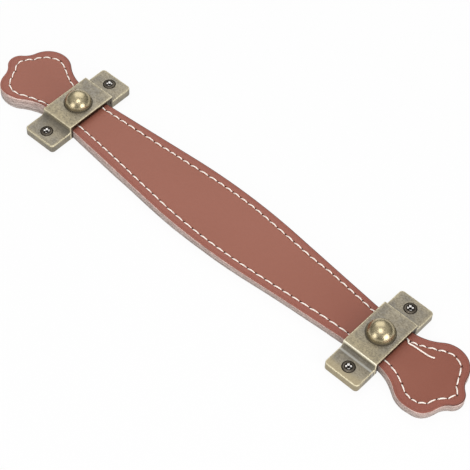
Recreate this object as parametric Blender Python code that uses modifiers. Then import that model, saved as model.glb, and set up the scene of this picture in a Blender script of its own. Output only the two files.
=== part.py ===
"""Strap pull: a sewn two-ply faux leather strap, held to a cabinet front by two cast clamps.

Metres, +Z up. The origin lies midway between the clamps, on the surface that they are screwed to.
X runs along the strap, Y across it, and Z points away from the surface.
"""
import math

import bmesh
import bpy
from mathutils import Matrix, Vector

# Strap outline, seen from above
STRAP_LENGTH = 0.250
FLANK_APEX_HALF = 0.0175
BELLY_RADIUS = 0.300
NECK_HALF = 0.0103
NECK_RADIUS = 0.040
FLARE_RADIUS = 0.0203
LOBE_HALF = 0.01715
LOBE_RADIUS = 0.0104
LOBE_FROM_END = 0.01535
NOTCH_RADIUS = 0.0089
TIP_RADIUS = 0.0054
TIP_LEAN = {-1: 0.0, 1: -0.0008}
STRAP_SLIDE = -0.0004
STRAP_SHIFT = -0.0002
STRAP_TURN = 0.2

# Strap plies, from the mounting surface up
BACK_THICKNESS = 0.0024
PLY_GAP = 0.0003
FACE_THICKNESS = 0.0014
SKIVE_DEPTH = 0.0018
SKIVE_RUN = 0.008
SKIVE_FADE_FROM_END = 0.019
SKIVE_FADE = 0.012

# Sewing
STITCH_INSET = 0.0035
STITCH_PITCH = 0.00425
THREAD_DIAMETER = 0.00065
THREAD_PROUD = 0.0001
THREAD_DIP = 0.00023
BOBBIN_DIP = 0.0001
SEWING_CLEARANCE = 0.0003
TAIL_CLEARANCE = 0.0003
FIRST_HOLE_FROM_CLAMP = 0.0013
TAIL_ROUTE = (
    (0.0118, 0.0003),
    (0.0108, -0.0001),
    (0.0093, -0.0005),
    (0.0065, -0.0008),
    (0.0033, -0.0010),
    (0.0012, -0.0013),
)

# Clamps: a cast hat section with a domed boss on its bridge
CLAMP_FROM_END = 0.04115
CLAMP_WIDTH = 0.0164
FOOT_THICKNESS = 0.0039
FOOT_LENGTH = 0.0109
FOOT_CORNER = 0.0016
FOOT_FILLET = 0.0008
BRIDGE_CLEARANCE = 0.0003
BRIDGE_THICKNESS = 0.0022
WALL_THICKNESS = 0.0014
CHANNEL_CLEARANCE = 0.0009
CLAMP_EDGE = 0.00045
CLAMP_TURNS = {"left": 1.3, "right": 0.4}
DOME_RADIUS = 0.00575
DOME_HEIGHT = 0.0053
DOME_ROOT = 0.0010
CREASE_WIDTH = 0.00045
CREASE_DEPTH = 0.0003

# Screws
SCREW_FROM_FOOT_END = 0.00487
SCREW_LENGTH = 0.012
SCREW_HEAD_RADIUS = 0.00265
SCREW_HEAD_RISE = 0.0006
SCREW_RIM = 0.0002
SCREW_SHANK_RADIUS = 0.0015
SCREW_POINT = 0.003
SCREW_CLEARANCE = 0.0003
RECESS_LENGTH = 0.0030
RECESS_WIDTH = 0.0008
RECESS_DEPTH = 0.0011
RECESS_TURN = 42.0

# How finely curves are divided
BELLY_STEPS = 3
NECK_STEPS = 2
FLARE_STEPS = 5
LOBE_STEPS = 12
NOTCH_STEPS = 4
TIP_STEPS = 5
WALK_FINENESS = 4
CORNER_STEPS = 5
FILLET_STEPS = 3
ROUND_STEPS = 24
DOME_STEPS = 7
SCREW_STEPS = 18
HEAD_STEPS = 3
BEVEL_SEGMENTS = 2
BEVEL_ANGLE = 40.0
SHARP_ANGLE = 35.0
THREAD_SHARP_ANGLE = 80.0
CUT_OVERSHOOT = 0.001
WELD_DISTANCE = 0.000001

# Finishes: colour, roughness, metallic
FINISHES = {
    "brown_faux_leather": ((0.35, 0.14, 0.11, 1.0), 0.45, 0.0),
    "grey_backing": ((0.44, 0.37, 0.34, 1.0), 0.9, 0.0),
    "ivory_thread": ((0.90, 0.82, 0.74, 1.0), 0.6, 0.0),
    "antique_brass": ((0.30, 0.25, 0.16, 1.0), 0.38, 1.0),
    "dark_screw": ((0.05, 0.045, 0.04, 1.0), 0.35, 1.0),
}

# Sizes that follow from the ones above
HALF_LENGTH = STRAP_LENGTH / 2
CLAMP_X = HALF_LENGTH - CLAMP_FROM_END
NECK_START = CLAMP_X - CLAMP_WIDTH / 2
FACE_BOTTOM = BACK_THICKNESS + PLY_GAP
STRAP_TOP = FACE_BOTTOM + FACE_THICKNESS
THREAD_RADIUS = THREAD_DIAMETER / 2
THREAD_CREST = STRAP_TOP + THREAD_PROUD
CHANNEL_HALF = NECK_HALF + CHANNEL_CLEARANCE
BRIDGE_UNDERSIDE = THREAD_CREST + THREAD_RADIUS + BRIDGE_CLEARANCE
BRIDGE_TOP = BRIDGE_UNDERSIDE + BRIDGE_THICKNESS
BRIDGE_HALF = CHANNEL_HALF + WALL_THICKNESS
CLAMP_HALF = BRIDGE_HALF + FOOT_LENGTH
SCREW_Y = CLAMP_HALF - SCREW_FROM_FOOT_END
GROOVE_RADIUS = THREAD_RADIUS + THREAD_DIP + SEWING_CLEARANCE


def clear_scene():
    """Remove every object of the scene."""
    for scene_object in list(bpy.data.objects):
        bpy.data.objects.remove(scene_object, do_unlink=True)


def new_collection(name):
    """Add a collection to the scene."""
    collection = bpy.data.collections.new(name)
    bpy.context.scene.collection.children.link(collection)
    return collection


def make_material(name):
    """Make the Principled material of one finish."""
    colour, roughness, metallic = FINISHES[name]
    material = bpy.data.materials.new(name)
    material.use_nodes = True
    shader = material.node_tree.nodes["Principled BSDF"]
    shader.inputs["Base Color"].default_value = colour
    shader.inputs["Roughness"].default_value = roughness
    shader.inputs["Metallic"].default_value = metallic
    material.diffuse_color = colour
    return material


def direction(start, end):
    """Angle of the line from one centre to another."""
    return math.atan2(end.y - start.y, end.x - start.x)


def arc(centre, radius, start, end, steps):
    """Points along an arc, its end point left to the next piece of the outline."""
    angles = [start + (end - start) * step / steps for step in range(steps)]
    return [(centre, radius, angle) for angle in angles]


def quarter_arcs(tip_y, fineness):
    """The arcs of one quarter of the outline, from the middle of the belly to the tip."""
    flank = math.atan2(FLANK_APEX_HALF - NECK_HALF, NECK_START)
    belly_half = FLANK_APEX_HALF - BELLY_RADIUS * (1 / math.cos(flank) - 1)
    belly = Vector((0, belly_half - BELLY_RADIUS))
    neck = Vector((NECK_START + NECK_RADIUS * math.tan(flank / 2), NECK_HALF + NECK_RADIUS))
    lobe = Vector((HALF_LENGTH - LOBE_FROM_END, LOBE_HALF - LOBE_RADIUS))
    tip = Vector((HALF_LENGTH - TIP_RADIUS, tip_y))
    flare_y = NECK_HALF + FLARE_RADIUS
    flare_reach = math.sqrt((LOBE_RADIUS + FLARE_RADIUS) ** 2 - (flare_y - lobe.y) ** 2)
    flare = Vector((lobe.x - flare_reach, flare_y))
    between = tip - lobe
    to_lobe = LOBE_RADIUS + NOTCH_RADIUS
    to_tip = TIP_RADIUS + NOTCH_RADIUS
    along = (to_lobe ** 2 - to_tip ** 2 + between.length ** 2) / (2 * between.length)
    aside = math.sqrt(to_lobe ** 2 - along ** 2)
    unit = between.normalized()
    notch = lobe + unit * along + Vector((-unit.y, unit.x)) * aside
    down = -math.pi / 2
    up = math.pi / 2
    full_turn = 2 * math.pi
    points = arc(belly, BELLY_RADIUS, up, up - flank, BELLY_STEPS * fineness)
    points += arc(neck, -NECK_RADIUS, down - flank, down, NECK_STEPS * fineness)
    points += arc(flare, -FLARE_RADIUS, down, direction(flare, lobe), FLARE_STEPS * fineness)
    lobe_start = direction(lobe, flare)
    lobe_end = direction(lobe, notch)
    points += arc(lobe, LOBE_RADIUS, lobe_start, lobe_end, LOBE_STEPS * fineness)
    notch_start = direction(notch, lobe) % full_turn
    notch_end = direction(notch, tip) % full_turn
    points += arc(notch, -NOTCH_RADIUS, notch_start, notch_end, NOTCH_STEPS * fineness)
    points += arc(tip, TIP_RADIUS, direction(tip, notch), 0, TIP_STEPS * fineness)
    points += [(tip, TIP_RADIUS, 0)]
    return points


def inset_point(centre, radius, angle, inset):
    """A point of an arc, moved into the strap; a concave arc has a negative radius."""
    reach = abs(radius) - math.copysign(inset, radius)
    return centre + Vector((math.cos(angle), math.sin(angle))) * reach


def lie(x, y):
    """Where a point of the outline comes to lie, as the strap sits a little askew in its clamps."""
    turn = math.radians(STRAP_TURN)
    turned_x = x * math.cos(turn) - y * math.sin(turn)
    turned_y = x * math.sin(turn) + y * math.cos(turn)
    return turned_x + STRAP_SLIDE, turned_y + STRAP_SHIFT


def outline(inset_at, fineness=1):
    """The closed outline, moved inwards by what inset_at gives for each of its points."""
    loop = []
    for side_x, side_y in ((1, 1), (1, -1), (-1, -1), (-1, 1)):
        corner = []
        for centre, radius, angle in quarter_arcs(side_y * TIP_LEAN[side_x], fineness):
            base = inset_point(centre, radius, angle, 0)
            inset = inset_at(side_x * base.x, side_y * base.y)
            point = inset_point(centre, radius, angle, inset)
            corner.append(lie(side_x * point.x, side_y * point.y))
        if side_x != side_y:
            corner.reverse()
        loop += corner[:-1]
    return loop


def smooth_step(value):
    """Ease from 0 to 1."""
    value = min(max(value, 0.0), 1.0)
    return value * value * (3 - 2 * value)


def skived(x, y):
    """How far the face ply is cut back, on the near side of the left end only."""
    if x > 0 or y > 0:
        return 0.0
    start = smooth_step((-x - CLAMP_X) / SKIVE_RUN)
    fade_start = HALF_LENGTH - SKIVE_FADE_FROM_END
    end = smooth_step((-x - fade_start) / SKIVE_FADE)
    return SKIVE_DEPTH * start * (1 - end)


def whole(x, y):
    """The back ply keeps the full outline."""
    return 0.0


def stitch_line(x, y):
    """The sewing runs at one distance inside the outline."""
    return STITCH_INSET


def curve_object(name, collection, points, cyclic, dimensions):
    """A curve object with one straight-sided spline."""
    data = bpy.data.curves.new(name, "CURVE")
    data.dimensions = dimensions
    spline = data.splines.new("POLY")
    spline.points.add(len(points) - 1)
    for spline_point, place in zip(spline.points, points):
        spline_point.co = (place[0], place[1], place[2] if len(place) > 2 else 0.0, 1.0)
    spline.use_cyclic_u = cyclic
    made = bpy.data.objects.new(name, data)
    collection.objects.link(made)
    return made


def curve_to_mesh(made, collection):
    """Replace a curve object by the closed mesh that it draws."""
    bpy.context.view_layer.update()
    evaluated = made.evaluated_get(bpy.context.evaluated_depsgraph_get())
    mesh = bpy.data.meshes.new_from_object(evaluated)
    place = made.matrix_world.copy()
    name = made.name
    bpy.data.objects.remove(made, do_unlink=True)
    work = bmesh.new()
    work.from_mesh(mesh)
    bmesh.ops.remove_doubles(work, verts=work.verts, dist=WELD_DISTANCE)
    bmesh.ops.recalc_face_normals(work, faces=work.faces)
    work.to_mesh(mesh)
    work.free()
    mesh.name = name
    solid = bpy.data.objects.new(name, mesh)
    solid.matrix_world = place
    collection.objects.link(solid)
    return solid


def flat_solid(name, collection, points, bottom, top):
    """A flat outline given a thickness between two heights."""
    flat = curve_object(name, collection, points, True, "2D")
    flat.data.fill_mode = "BOTH"
    flat.data.extrude = (top - bottom) / 2
    flat.location.z = (top + bottom) / 2
    return curve_to_mesh(flat, collection)


def tube_solid(name, collection, points, radius, cyclic, resolution):
    """A round tube along a line of points."""
    tube = curve_object(name, collection, points, cyclic, "3D")
    tube.data.bevel_depth = radius
    tube.data.bevel_resolution = resolution
    tube.data.use_fill_caps = not cyclic
    return curve_to_mesh(tube, collection)


def turned(name, collection, profile, steps):
    """A solid turned about Z from a profile that runs top to bottom on the +X side."""
    mesh = bpy.data.meshes.new(name)
    edges = [(index, index + 1) for index in range(len(profile) - 1)]
    mesh.from_pydata([(radius, 0, height) for radius, height in profile], edges, [])
    made = bpy.data.objects.new(name, mesh)
    collection.objects.link(made)
    screw = made.modifiers.new("turn", "SCREW")
    screw.steps = steps
    screw.render_steps = steps
    screw.use_merge_vertices = True
    screw.merge_threshold = WELD_DISTANCE
    return made


def hide_cutter(cutter):
    """Mark an object that only shapes another."""
    cutter.hide_render = True
    cutter.display_type = "WIRE"


def boolean(target, cutter, operation):
    """Cut, join or trim a solid with another."""
    hide_cutter(cutter)
    modifier = target.modifiers.new(operation.lower(), "BOOLEAN")
    modifier.operation = operation
    modifier.solver = "EXACT"
    modifier.object = cutter


def bevel_edges(target, width):
    """Break the sharp edges of a solid."""
    modifier = target.modifiers.new("edges", "BEVEL")
    modifier.width = width
    modifier.segments = BEVEL_SEGMENTS
    modifier.limit_method = "ANGLE"
    modifier.angle_limit = math.radians(BEVEL_ANGLE)


def shade_round(made, angle=SHARP_ANGLE):
    """Smooth shading, with sharp edges kept."""
    made.data.shade_smooth()
    made.data.set_sharp_from_angle(angle=math.radians(angle))


def walk(points):
    """Running length along a closed line of points, which ends where it starts."""
    closed = points + points[:1]
    lengths = [0.0]
    for here, there in zip(closed, closed[1:]):
        lengths.append(lengths[-1] + math.dist(here, there))
    return closed, lengths


def place_at(closed, lengths, distance):
    """The point at a running length along a closed line."""
    distance = distance % lengths[-1]
    index = 0
    while lengths[index + 1] < distance:
        index += 1
    share = (distance - lengths[index]) / (lengths[index + 1] - lengths[index])
    here = Vector(closed[index])
    return here.lerp(Vector(closed[index + 1]), share)


def stitch_places(parts_a_stitch):
    """Points along the sewing, from the first hole round the loop to just before it."""
    closed, lengths = walk(outline(stitch_line, WALK_FINENESS))
    first_x = CLAMP_X + CLAMP_WIDTH / 2 + FIRST_HOLE_FROM_CLAMP
    index = 0
    while closed[index][0] < first_x:
        index += 1
    share = (first_x - closed[index - 1][0]) / (closed[index][0] - closed[index - 1][0])
    first = lengths[index - 1] + share * (lengths[index] - lengths[index - 1])
    stitches = round(lengths[-1] / STITCH_PITCH)
    step = lengths[-1] / (stitches * parts_a_stitch)
    return [place_at(closed, lengths, first + step * n) for n in range(stitches * parts_a_stitch)]


def make_needle_thread(collection):
    """The top thread in one length: its loose tail, then every stitch of the loop."""
    parts_a_stitch = 3
    places = stitch_places(parts_a_stitch)
    hole = THREAD_CREST - THREAD_DIP
    tail_height = STRAP_TOP + TAIL_CLEARANCE + THREAD_RADIUS
    route = [(places[0].x + along, places[0].y + across, tail_height) for along, across in TAIL_ROUTE]
    for number, place in enumerate(places):
        height = hole if number % parts_a_stitch == 0 else THREAD_CREST
        route.append((place.x, place.y, height))
    thread = tube_solid("needle_thread", collection, route, THREAD_RADIUS, False, 1)
    shade_round(thread, THREAD_SHARP_ANGLE)
    return thread


def make_bobbin_thread(collection):
    """The lower thread, a closed loop sunk into the back."""
    parts_a_stitch = 2
    places = stitch_places(parts_a_stitch)
    lowest = THREAD_RADIUS + BOBBIN_DIP / 2
    route = []
    for number, place in enumerate(places):
        height = lowest + (BOBBIN_DIP if number % parts_a_stitch == 0 else 0.0)
        route.append((place.x, place.y, height))
    thread = tube_solid("bobbin_thread", collection, route, THREAD_RADIUS, True, 0)
    shade_round(thread, THREAD_SHARP_ANGLE)
    return thread


def sewn_groove(name, cutters, height):
    """The cutter of the channel that the stitches are pulled into."""
    route = [(x, y, height) for x, y in outline(stitch_line)]
    return tube_solid(name, cutters, route, GROOVE_RADIUS, True, 1)


def make_strap_face(collection, cutters):
    """The brown face ply, with its sewn channel."""
    face = flat_solid("strap_face", collection, outline(skived), FACE_BOTTOM, STRAP_TOP)
    boolean(face, sewn_groove("face_groove", cutters, THREAD_CREST), "DIFFERENCE")
    return face


def make_strap_back(collection, cutters):
    """The thick backing ply, with its sewn channel underneath."""
    back = flat_solid("strap_back", collection, outline(whole), 0.0, BACK_THICKNESS)
    boolean(back, sewn_groove("back_groove", cutters, THREAD_RADIUS), "DIFFERENCE")
    return back


def hat_section():
    """Section of a clamp across the strap: feet, walls with a fillet at their root, and bridge."""
    right = [(BRIDGE_HALF, BRIDGE_TOP)]
    for step in range(FILLET_STEPS + 1):
        angle = math.pi * (1 + step / FILLET_STEPS / 2)
        y = BRIDGE_HALF + FOOT_FILLET * (1 + math.cos(angle))
        z = FOOT_THICKNESS + FOOT_FILLET * (1 + math.sin(angle))
        right.append((y, z))
    right += [
        (CLAMP_HALF, FOOT_THICKNESS),
        (CLAMP_HALF, 0.0),
        (CHANNEL_HALF, 0.0),
        (CHANNEL_HALF, BRIDGE_UNDERSIDE),
    ]
    left = [(-y, z) for y, z in reversed(right)]
    return right + left


def rounded_plan():
    """Outline of a clamp from above, with its foot corners rounded."""
    points = []
    centre_x = CLAMP_WIDTH / 2 - FOOT_CORNER
    centre_y = CLAMP_HALF - FOOT_CORNER
    for number, (side_x, side_y) in enumerate(((1, 1), (-1, 1), (-1, -1), (1, -1))):
        for step in range(CORNER_STEPS + 1):
            angle = math.pi / 2 * (number + step / CORNER_STEPS)
            x = side_x * centre_x + FOOT_CORNER * math.cos(angle)
            y = side_y * centre_y + FOOT_CORNER * math.sin(angle)
            points.append((x, y))
    return points


def dome_profile():
    """The boss from its crown down to its root inside the bridge."""
    points = []
    for step in range(DOME_STEPS + 1):
        angle = math.pi / 2 * (1 - step / DOME_STEPS)
        points.append((DOME_RADIUS * math.cos(angle), BRIDGE_TOP + DOME_HEIGHT * math.sin(angle)))
    points[0] = (0.0, BRIDGE_TOP + DOME_HEIGHT)
    root = BRIDGE_TOP - DOME_ROOT
    points += [(DOME_RADIUS, root), (0.0, root)]
    return points


def crease_profile():
    """The cutter of the crease that surrounds the boss."""
    top = BRIDGE_TOP + CUT_OVERSHOOT
    bottom = BRIDGE_TOP - CREASE_DEPTH
    outer = DOME_RADIUS + CREASE_WIDTH
    return [(0.0, top), (outer, top), (outer, BRIDGE_TOP), (DOME_RADIUS, bottom), (0.0, bottom)]


def countersink_profile():
    """The cutter of a screw hole: the head's cone and the shank, each with its clearance."""
    cone_gap = SCREW_CLEARANCE * math.sqrt(2)
    mouth = SCREW_HEAD_RADIUS + cone_gap
    throat = SCREW_SHANK_RADIUS + cone_gap
    rim = FOOT_THICKNESS - SCREW_RIM
    top = FOOT_THICKNESS + CUT_OVERSHOOT
    bottom = -CUT_OVERSHOOT
    throat_z = rim - (mouth - throat)
    return [(0.0, top), (mouth, top), (mouth, rim), (throat, throat_z), (throat, bottom), (0.0, bottom)]


def screw_profile():
    """Raised countersunk screw, from the crown of its head to its point."""
    points = []
    sphere = (SCREW_HEAD_RADIUS ** 2 + SCREW_HEAD_RISE ** 2) / (2 * SCREW_HEAD_RISE)
    sweep = math.asin(SCREW_HEAD_RADIUS / sphere)
    crown = FOOT_THICKNESS + SCREW_HEAD_RISE
    for step in range(HEAD_STEPS + 1):
        angle = sweep * step / HEAD_STEPS
        points.append((sphere * math.sin(angle), crown - sphere * (1 - math.cos(angle))))
    rim = FOOT_THICKNESS - SCREW_RIM
    cone_end = rim - (SCREW_HEAD_RADIUS - SCREW_SHANK_RADIUS)
    end = FOOT_THICKNESS - SCREW_LENGTH
    points += [
        (SCREW_HEAD_RADIUS, rim),
        (SCREW_SHANK_RADIUS, cone_end),
        (SCREW_SHANK_RADIUS, end + SCREW_POINT),
        (0.0, end),
    ]
    return points


def make_bracket(name, collection, cutters, holder):
    """One clamp: the hat section trimmed to its plan, its boss, crease and two screw holes."""
    section = curve_object(name, collection, hat_section(), True, "2D")
    section.data.fill_mode = "BOTH"
    section.data.extrude = CLAMP_WIDTH / 2
    section.matrix_world = Matrix(((0, 0, 1, 0), (1, 0, 0, 0), (0, 1, 0, 0), (0, 0, 0, 1)))
    bracket = curve_to_mesh(section, collection)
    shade_round(bracket)
    plan_bottom = -CUT_OVERSHOOT
    plan_top = BRIDGE_TOP + CUT_OVERSHOOT
    plan = flat_solid(name + "_plan", cutters, rounded_plan(), plan_bottom, plan_top)
    crease = turned(name + "_crease", cutters, crease_profile(), ROUND_STEPS)
    dome = turned(name + "_dome", cutters, dome_profile(), ROUND_STEPS)
    shade_round(dome)
    boolean(bracket, plan, "INTERSECT")
    bevel_edges(bracket, CLAMP_EDGE)
    boolean(bracket, crease, "DIFFERENCE")
    boolean(bracket, dome, "UNION")
    for side in (-1, 1):
        hole = turned(name + "_hole", cutters, countersink_profile(), SCREW_STEPS)
        hole.location.y = side * SCREW_Y
        hole.parent = holder
        boolean(bracket, hole, "DIFFERENCE")
    for made in (bracket, plan, crease, dome):
        made.parent = holder
    return bracket


def make_screw(name, collection, cutters, holder, side):
    """One screw with a cross recess, in its hole."""
    screw = turned(name, collection, screw_profile(), SCREW_STEPS)
    shade_round(screw)
    screw.location.y = side * SCREW_Y
    screw.parent = holder
    crown = FOOT_THICKNESS + SCREW_HEAD_RISE
    height = RECESS_DEPTH + CUT_OVERSHOOT
    for quarter in (0, 90):
        bpy.ops.mesh.primitive_cube_add(size=1)
        slot = bpy.context.object
        slot.name = name + "_recess"
        for owner in list(slot.users_collection):
            owner.objects.unlink(slot)
        cutters.objects.link(slot)
        slot.scale = (RECESS_LENGTH, RECESS_WIDTH, height)
        slot.rotation_euler.z = math.radians(RECESS_TURN + quarter)
        slot.location = (0, side * SCREW_Y, crown - RECESS_DEPTH + height / 2)
        slot.parent = holder
        boolean(screw, slot, "DIFFERENCE")
    return screw


def give_material(made, material):
    """Give an object its only material."""
    made.data.materials.clear()
    made.data.materials.append(material)


def main():
    """Build the strap, its sewing, the clamps and their screws."""
    clear_scene()
    parts = new_collection("strap_pull")
    cutters = new_collection("cutters")
    finishes = {name: make_material(name) for name in FINISHES}

    give_material(make_strap_face(parts, cutters), finishes["brown_faux_leather"])
    give_material(make_strap_back(parts, cutters), finishes["grey_backing"])
    give_material(make_needle_thread(parts), finishes["ivory_thread"])
    give_material(make_bobbin_thread(parts), finishes["ivory_thread"])

    for end, side_x in (("left", -1), ("right", 1)):
        holder = bpy.data.objects.new(end + "_clamp", None)
        parts.objects.link(holder)
        holder.location.x = side_x * CLAMP_X
        holder.rotation_euler.z = math.radians(CLAMP_TURNS[end])
        bracket = make_bracket("bracket_" + end, parts, cutters, holder)
        give_material(bracket, finishes["antique_brass"])
        for side, side_y in (("near", -1), ("far", 1)):
            name = "screw_" + end + "_" + side
            screw = make_screw(name, parts, cutters, holder, side_y)
            give_material(screw, finishes["dark_screw"])


main()
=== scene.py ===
# %% [markdown]
# # Dressing a sewn strap pull
#
# A strap pull is a flat leather handle for a drawer. This one has two plies of faux leather sewn together
# all round, and two cast clamps that hold the strap at its narrow necks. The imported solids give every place
# and size, and this lesson makes the surfaces that the eye meets: the rounded skin, the raw cut edge, the
# stitches, the aged brass and the dark screws.

# %% Load the frame
import math

import bmesh
import bpy
from mathutils import Matrix, Vector, noise


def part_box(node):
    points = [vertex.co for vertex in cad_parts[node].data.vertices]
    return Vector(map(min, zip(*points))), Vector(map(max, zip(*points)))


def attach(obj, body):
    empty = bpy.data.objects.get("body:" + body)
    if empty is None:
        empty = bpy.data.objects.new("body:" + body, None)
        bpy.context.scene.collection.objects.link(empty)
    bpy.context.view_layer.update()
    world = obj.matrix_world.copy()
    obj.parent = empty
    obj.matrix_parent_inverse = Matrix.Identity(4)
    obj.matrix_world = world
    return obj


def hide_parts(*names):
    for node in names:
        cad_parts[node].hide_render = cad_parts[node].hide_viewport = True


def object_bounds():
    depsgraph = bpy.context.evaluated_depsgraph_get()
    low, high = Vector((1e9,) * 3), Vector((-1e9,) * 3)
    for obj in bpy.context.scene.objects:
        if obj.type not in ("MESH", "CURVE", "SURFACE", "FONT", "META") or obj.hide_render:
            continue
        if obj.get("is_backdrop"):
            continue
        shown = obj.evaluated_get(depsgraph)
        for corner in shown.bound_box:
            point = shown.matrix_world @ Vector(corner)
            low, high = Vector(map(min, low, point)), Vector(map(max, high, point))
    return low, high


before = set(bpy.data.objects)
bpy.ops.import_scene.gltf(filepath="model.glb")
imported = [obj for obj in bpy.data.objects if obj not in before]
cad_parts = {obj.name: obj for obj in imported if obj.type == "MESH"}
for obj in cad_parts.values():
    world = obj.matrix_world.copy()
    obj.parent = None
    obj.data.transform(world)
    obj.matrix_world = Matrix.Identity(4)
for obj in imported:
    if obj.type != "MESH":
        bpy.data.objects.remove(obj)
cad_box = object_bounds()
MM = 0.001
print("solids:", ", ".join(sorted(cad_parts)))

# %% [markdown]
# ## Sizes
#
# Heights come straight from the solids. The outline is a chain of arcs, so its radii are written out here
# once, and every ring of the strap, the sewing and the stitches is read from the same arcs.

# %% Heights read from the solids
face_low, face_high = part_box("strap_face")
STRAP_TOP = face_high.z
FACE_BOTTOM = face_low.z
BACK_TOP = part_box("strap_back")[1].z
PLY_SEAM = (FACE_BOTTOM + BACK_TOP) / 2
print("strap top %.2f mm, seam between the plies %.2f mm" % (STRAP_TOP / MM, PLY_SEAM / MM))

# %% Outline of the strap
STRAP_LENGTH = 250.0 * MM
FLANK_APEX_HALF = 17.5 * MM
BELLY_RADIUS = 300.0 * MM
NECK_HALF = 10.3 * MM
NECK_RADIUS = 40.0 * MM
FLARE_RADIUS = 20.3 * MM
LOBE_HALF = 17.15 * MM
LOBE_RADIUS = 10.4 * MM
LOBE_FROM_END = 15.35 * MM
NOTCH_RADIUS = 8.9 * MM
TIP_RADIUS = 5.4 * MM
TIP_LEAN = {-1: 0.0, 1: -0.8 * MM}
STRAP_SLIDE = -0.4 * MM
STRAP_SHIFT = -0.2 * MM
STRAP_TURN = math.radians(0.2)
HALF_LENGTH = STRAP_LENGTH / 2

# %% Clamps and screws
CLAMP_FROM_END = 41.15 * MM
CLAMP_WIDTH = 16.4 * MM
CLAMP_TURNS = {"left": math.radians(1.3), "right": math.radians(0.4)}
CLAMP_X = HALF_LENGTH - CLAMP_FROM_END
FOOT_THICKNESS = 3.9 * MM
FOOT_LENGTH = 10.9 * MM
FOOT_CORNER = 1.6 * MM
CHANNEL_HALF = NECK_HALF + 0.9 * MM
BRIDGE_UNDERSIDE = STRAP_TOP + 0.725 * MM
BRIDGE_TOP = BRIDGE_UNDERSIDE + 2.2 * MM
BRIDGE_HALF = CHANNEL_HALF + 1.4 * MM
CLAMP_HALF = BRIDGE_HALF + FOOT_LENGTH
SCREW_Y = CLAMP_HALF - 4.87 * MM
print("clamps at x = +-%.2f mm, screws at y = +-%.2f mm" % (CLAMP_X / MM, SCREW_Y / MM))

# %% [markdown]
# ## The outline as arcs
#
# Each quarter of the strap runs from the belly through the neck, the flare, the lobe and the notch to the
# tip. Neighbouring arcs are tangent, so a ring at any distance inside the edge is made of the same arcs with
# larger or smaller radii. A hollow arc carries a negative radius.


# %% Arcs of one quarter
def direction(start, end):
    """Angle of the line from one centre to another."""
    return math.atan2(end.y - start.y, end.x - start.x)


def quarter_arcs(tip_y):
    """The arcs from the middle of the belly to the tip: centre, radius, first and last angle."""
    neck_start = CLAMP_X - CLAMP_WIDTH / 2
    flank = math.atan2(FLANK_APEX_HALF - NECK_HALF, neck_start)
    belly_half = FLANK_APEX_HALF - BELLY_RADIUS * (1 / math.cos(flank) - 1)
    belly = Vector((0, belly_half - BELLY_RADIUS))
    neck = Vector((neck_start + NECK_RADIUS * math.tan(flank / 2), NECK_HALF + NECK_RADIUS))
    lobe = Vector((HALF_LENGTH - LOBE_FROM_END, LOBE_HALF - LOBE_RADIUS))
    tip = Vector((HALF_LENGTH - TIP_RADIUS, tip_y))
    flare_y = NECK_HALF + FLARE_RADIUS
    flare_reach = math.sqrt((LOBE_RADIUS + FLARE_RADIUS) ** 2 - (flare_y - lobe.y) ** 2)
    flare = Vector((lobe.x - flare_reach, flare_y))
    between = tip - lobe
    to_lobe = LOBE_RADIUS + NOTCH_RADIUS
    to_tip = TIP_RADIUS + NOTCH_RADIUS
    along = (to_lobe ** 2 - to_tip ** 2 + between.length ** 2) / (2 * between.length)
    aside = math.sqrt(to_lobe ** 2 - along ** 2)
    unit = between.normalized()
    notch = lobe + unit * along + Vector((-unit.y, unit.x)) * aside
    up, down, full_turn = math.pi / 2, -math.pi / 2, 2 * math.pi
    belly_end = Vector((math.cos(up - flank), math.sin(up - flank))) * BELLY_RADIUS + belly
    neck_begin = Vector((math.cos(down - flank), math.sin(down - flank))) * NECK_RADIUS + neck
    return [
        (belly, BELLY_RADIUS, up, up - flank),
        (belly_end, neck_begin),
        (neck, -NECK_RADIUS, down - flank, down),
        (Vector((neck.x, NECK_HALF)), Vector((flare.x, NECK_HALF))),
        (flare, -FLARE_RADIUS, down, direction(flare, lobe)),
        (lobe, LOBE_RADIUS, direction(lobe, flare), direction(lobe, notch)),
        (notch, -NOTCH_RADIUS, direction(notch, lobe) % full_turn, direction(notch, tip) % full_turn),
        (tip, TIP_RADIUS, direction(tip, notch), 0.0),
    ]


print("a quarter of the outline has %d pieces" % len(quarter_arcs(0.0)))

# %% [markdown]
# ## Hand work
#
# The strap was cut and sewn by hand. The stitches are not all as long as each other, their line wanders by
# up to 0.7 mm, the near side of the left end was pared thinner at a slant, the near cut leans out or
# in towards its foot, and one notch is shallower than the others. Short tables of a place and a value hold
# these habits, and a smooth step joins their values. The stitches are counted clockwise from the one by the
# right clamp's far side.


# %% Slow changes
def smooth_step(value):
    """Ease from 0 to 1."""
    value = min(max(value, 0.0), 1.0)
    return value * value * (3 - 2 * value)


def along_table(place, table):
    """Smooth value at a place of a table of (place, value) pairs."""
    if place <= table[0][0]:
        return table[0][1]
    for (x0, v0), (x1, v1) in zip(table, table[1:]):
        if place < x1:
            return v0 + (v1 - v0) * smooth_step((place - x0) / (x1 - x0))
    return table[-1][1]


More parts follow.
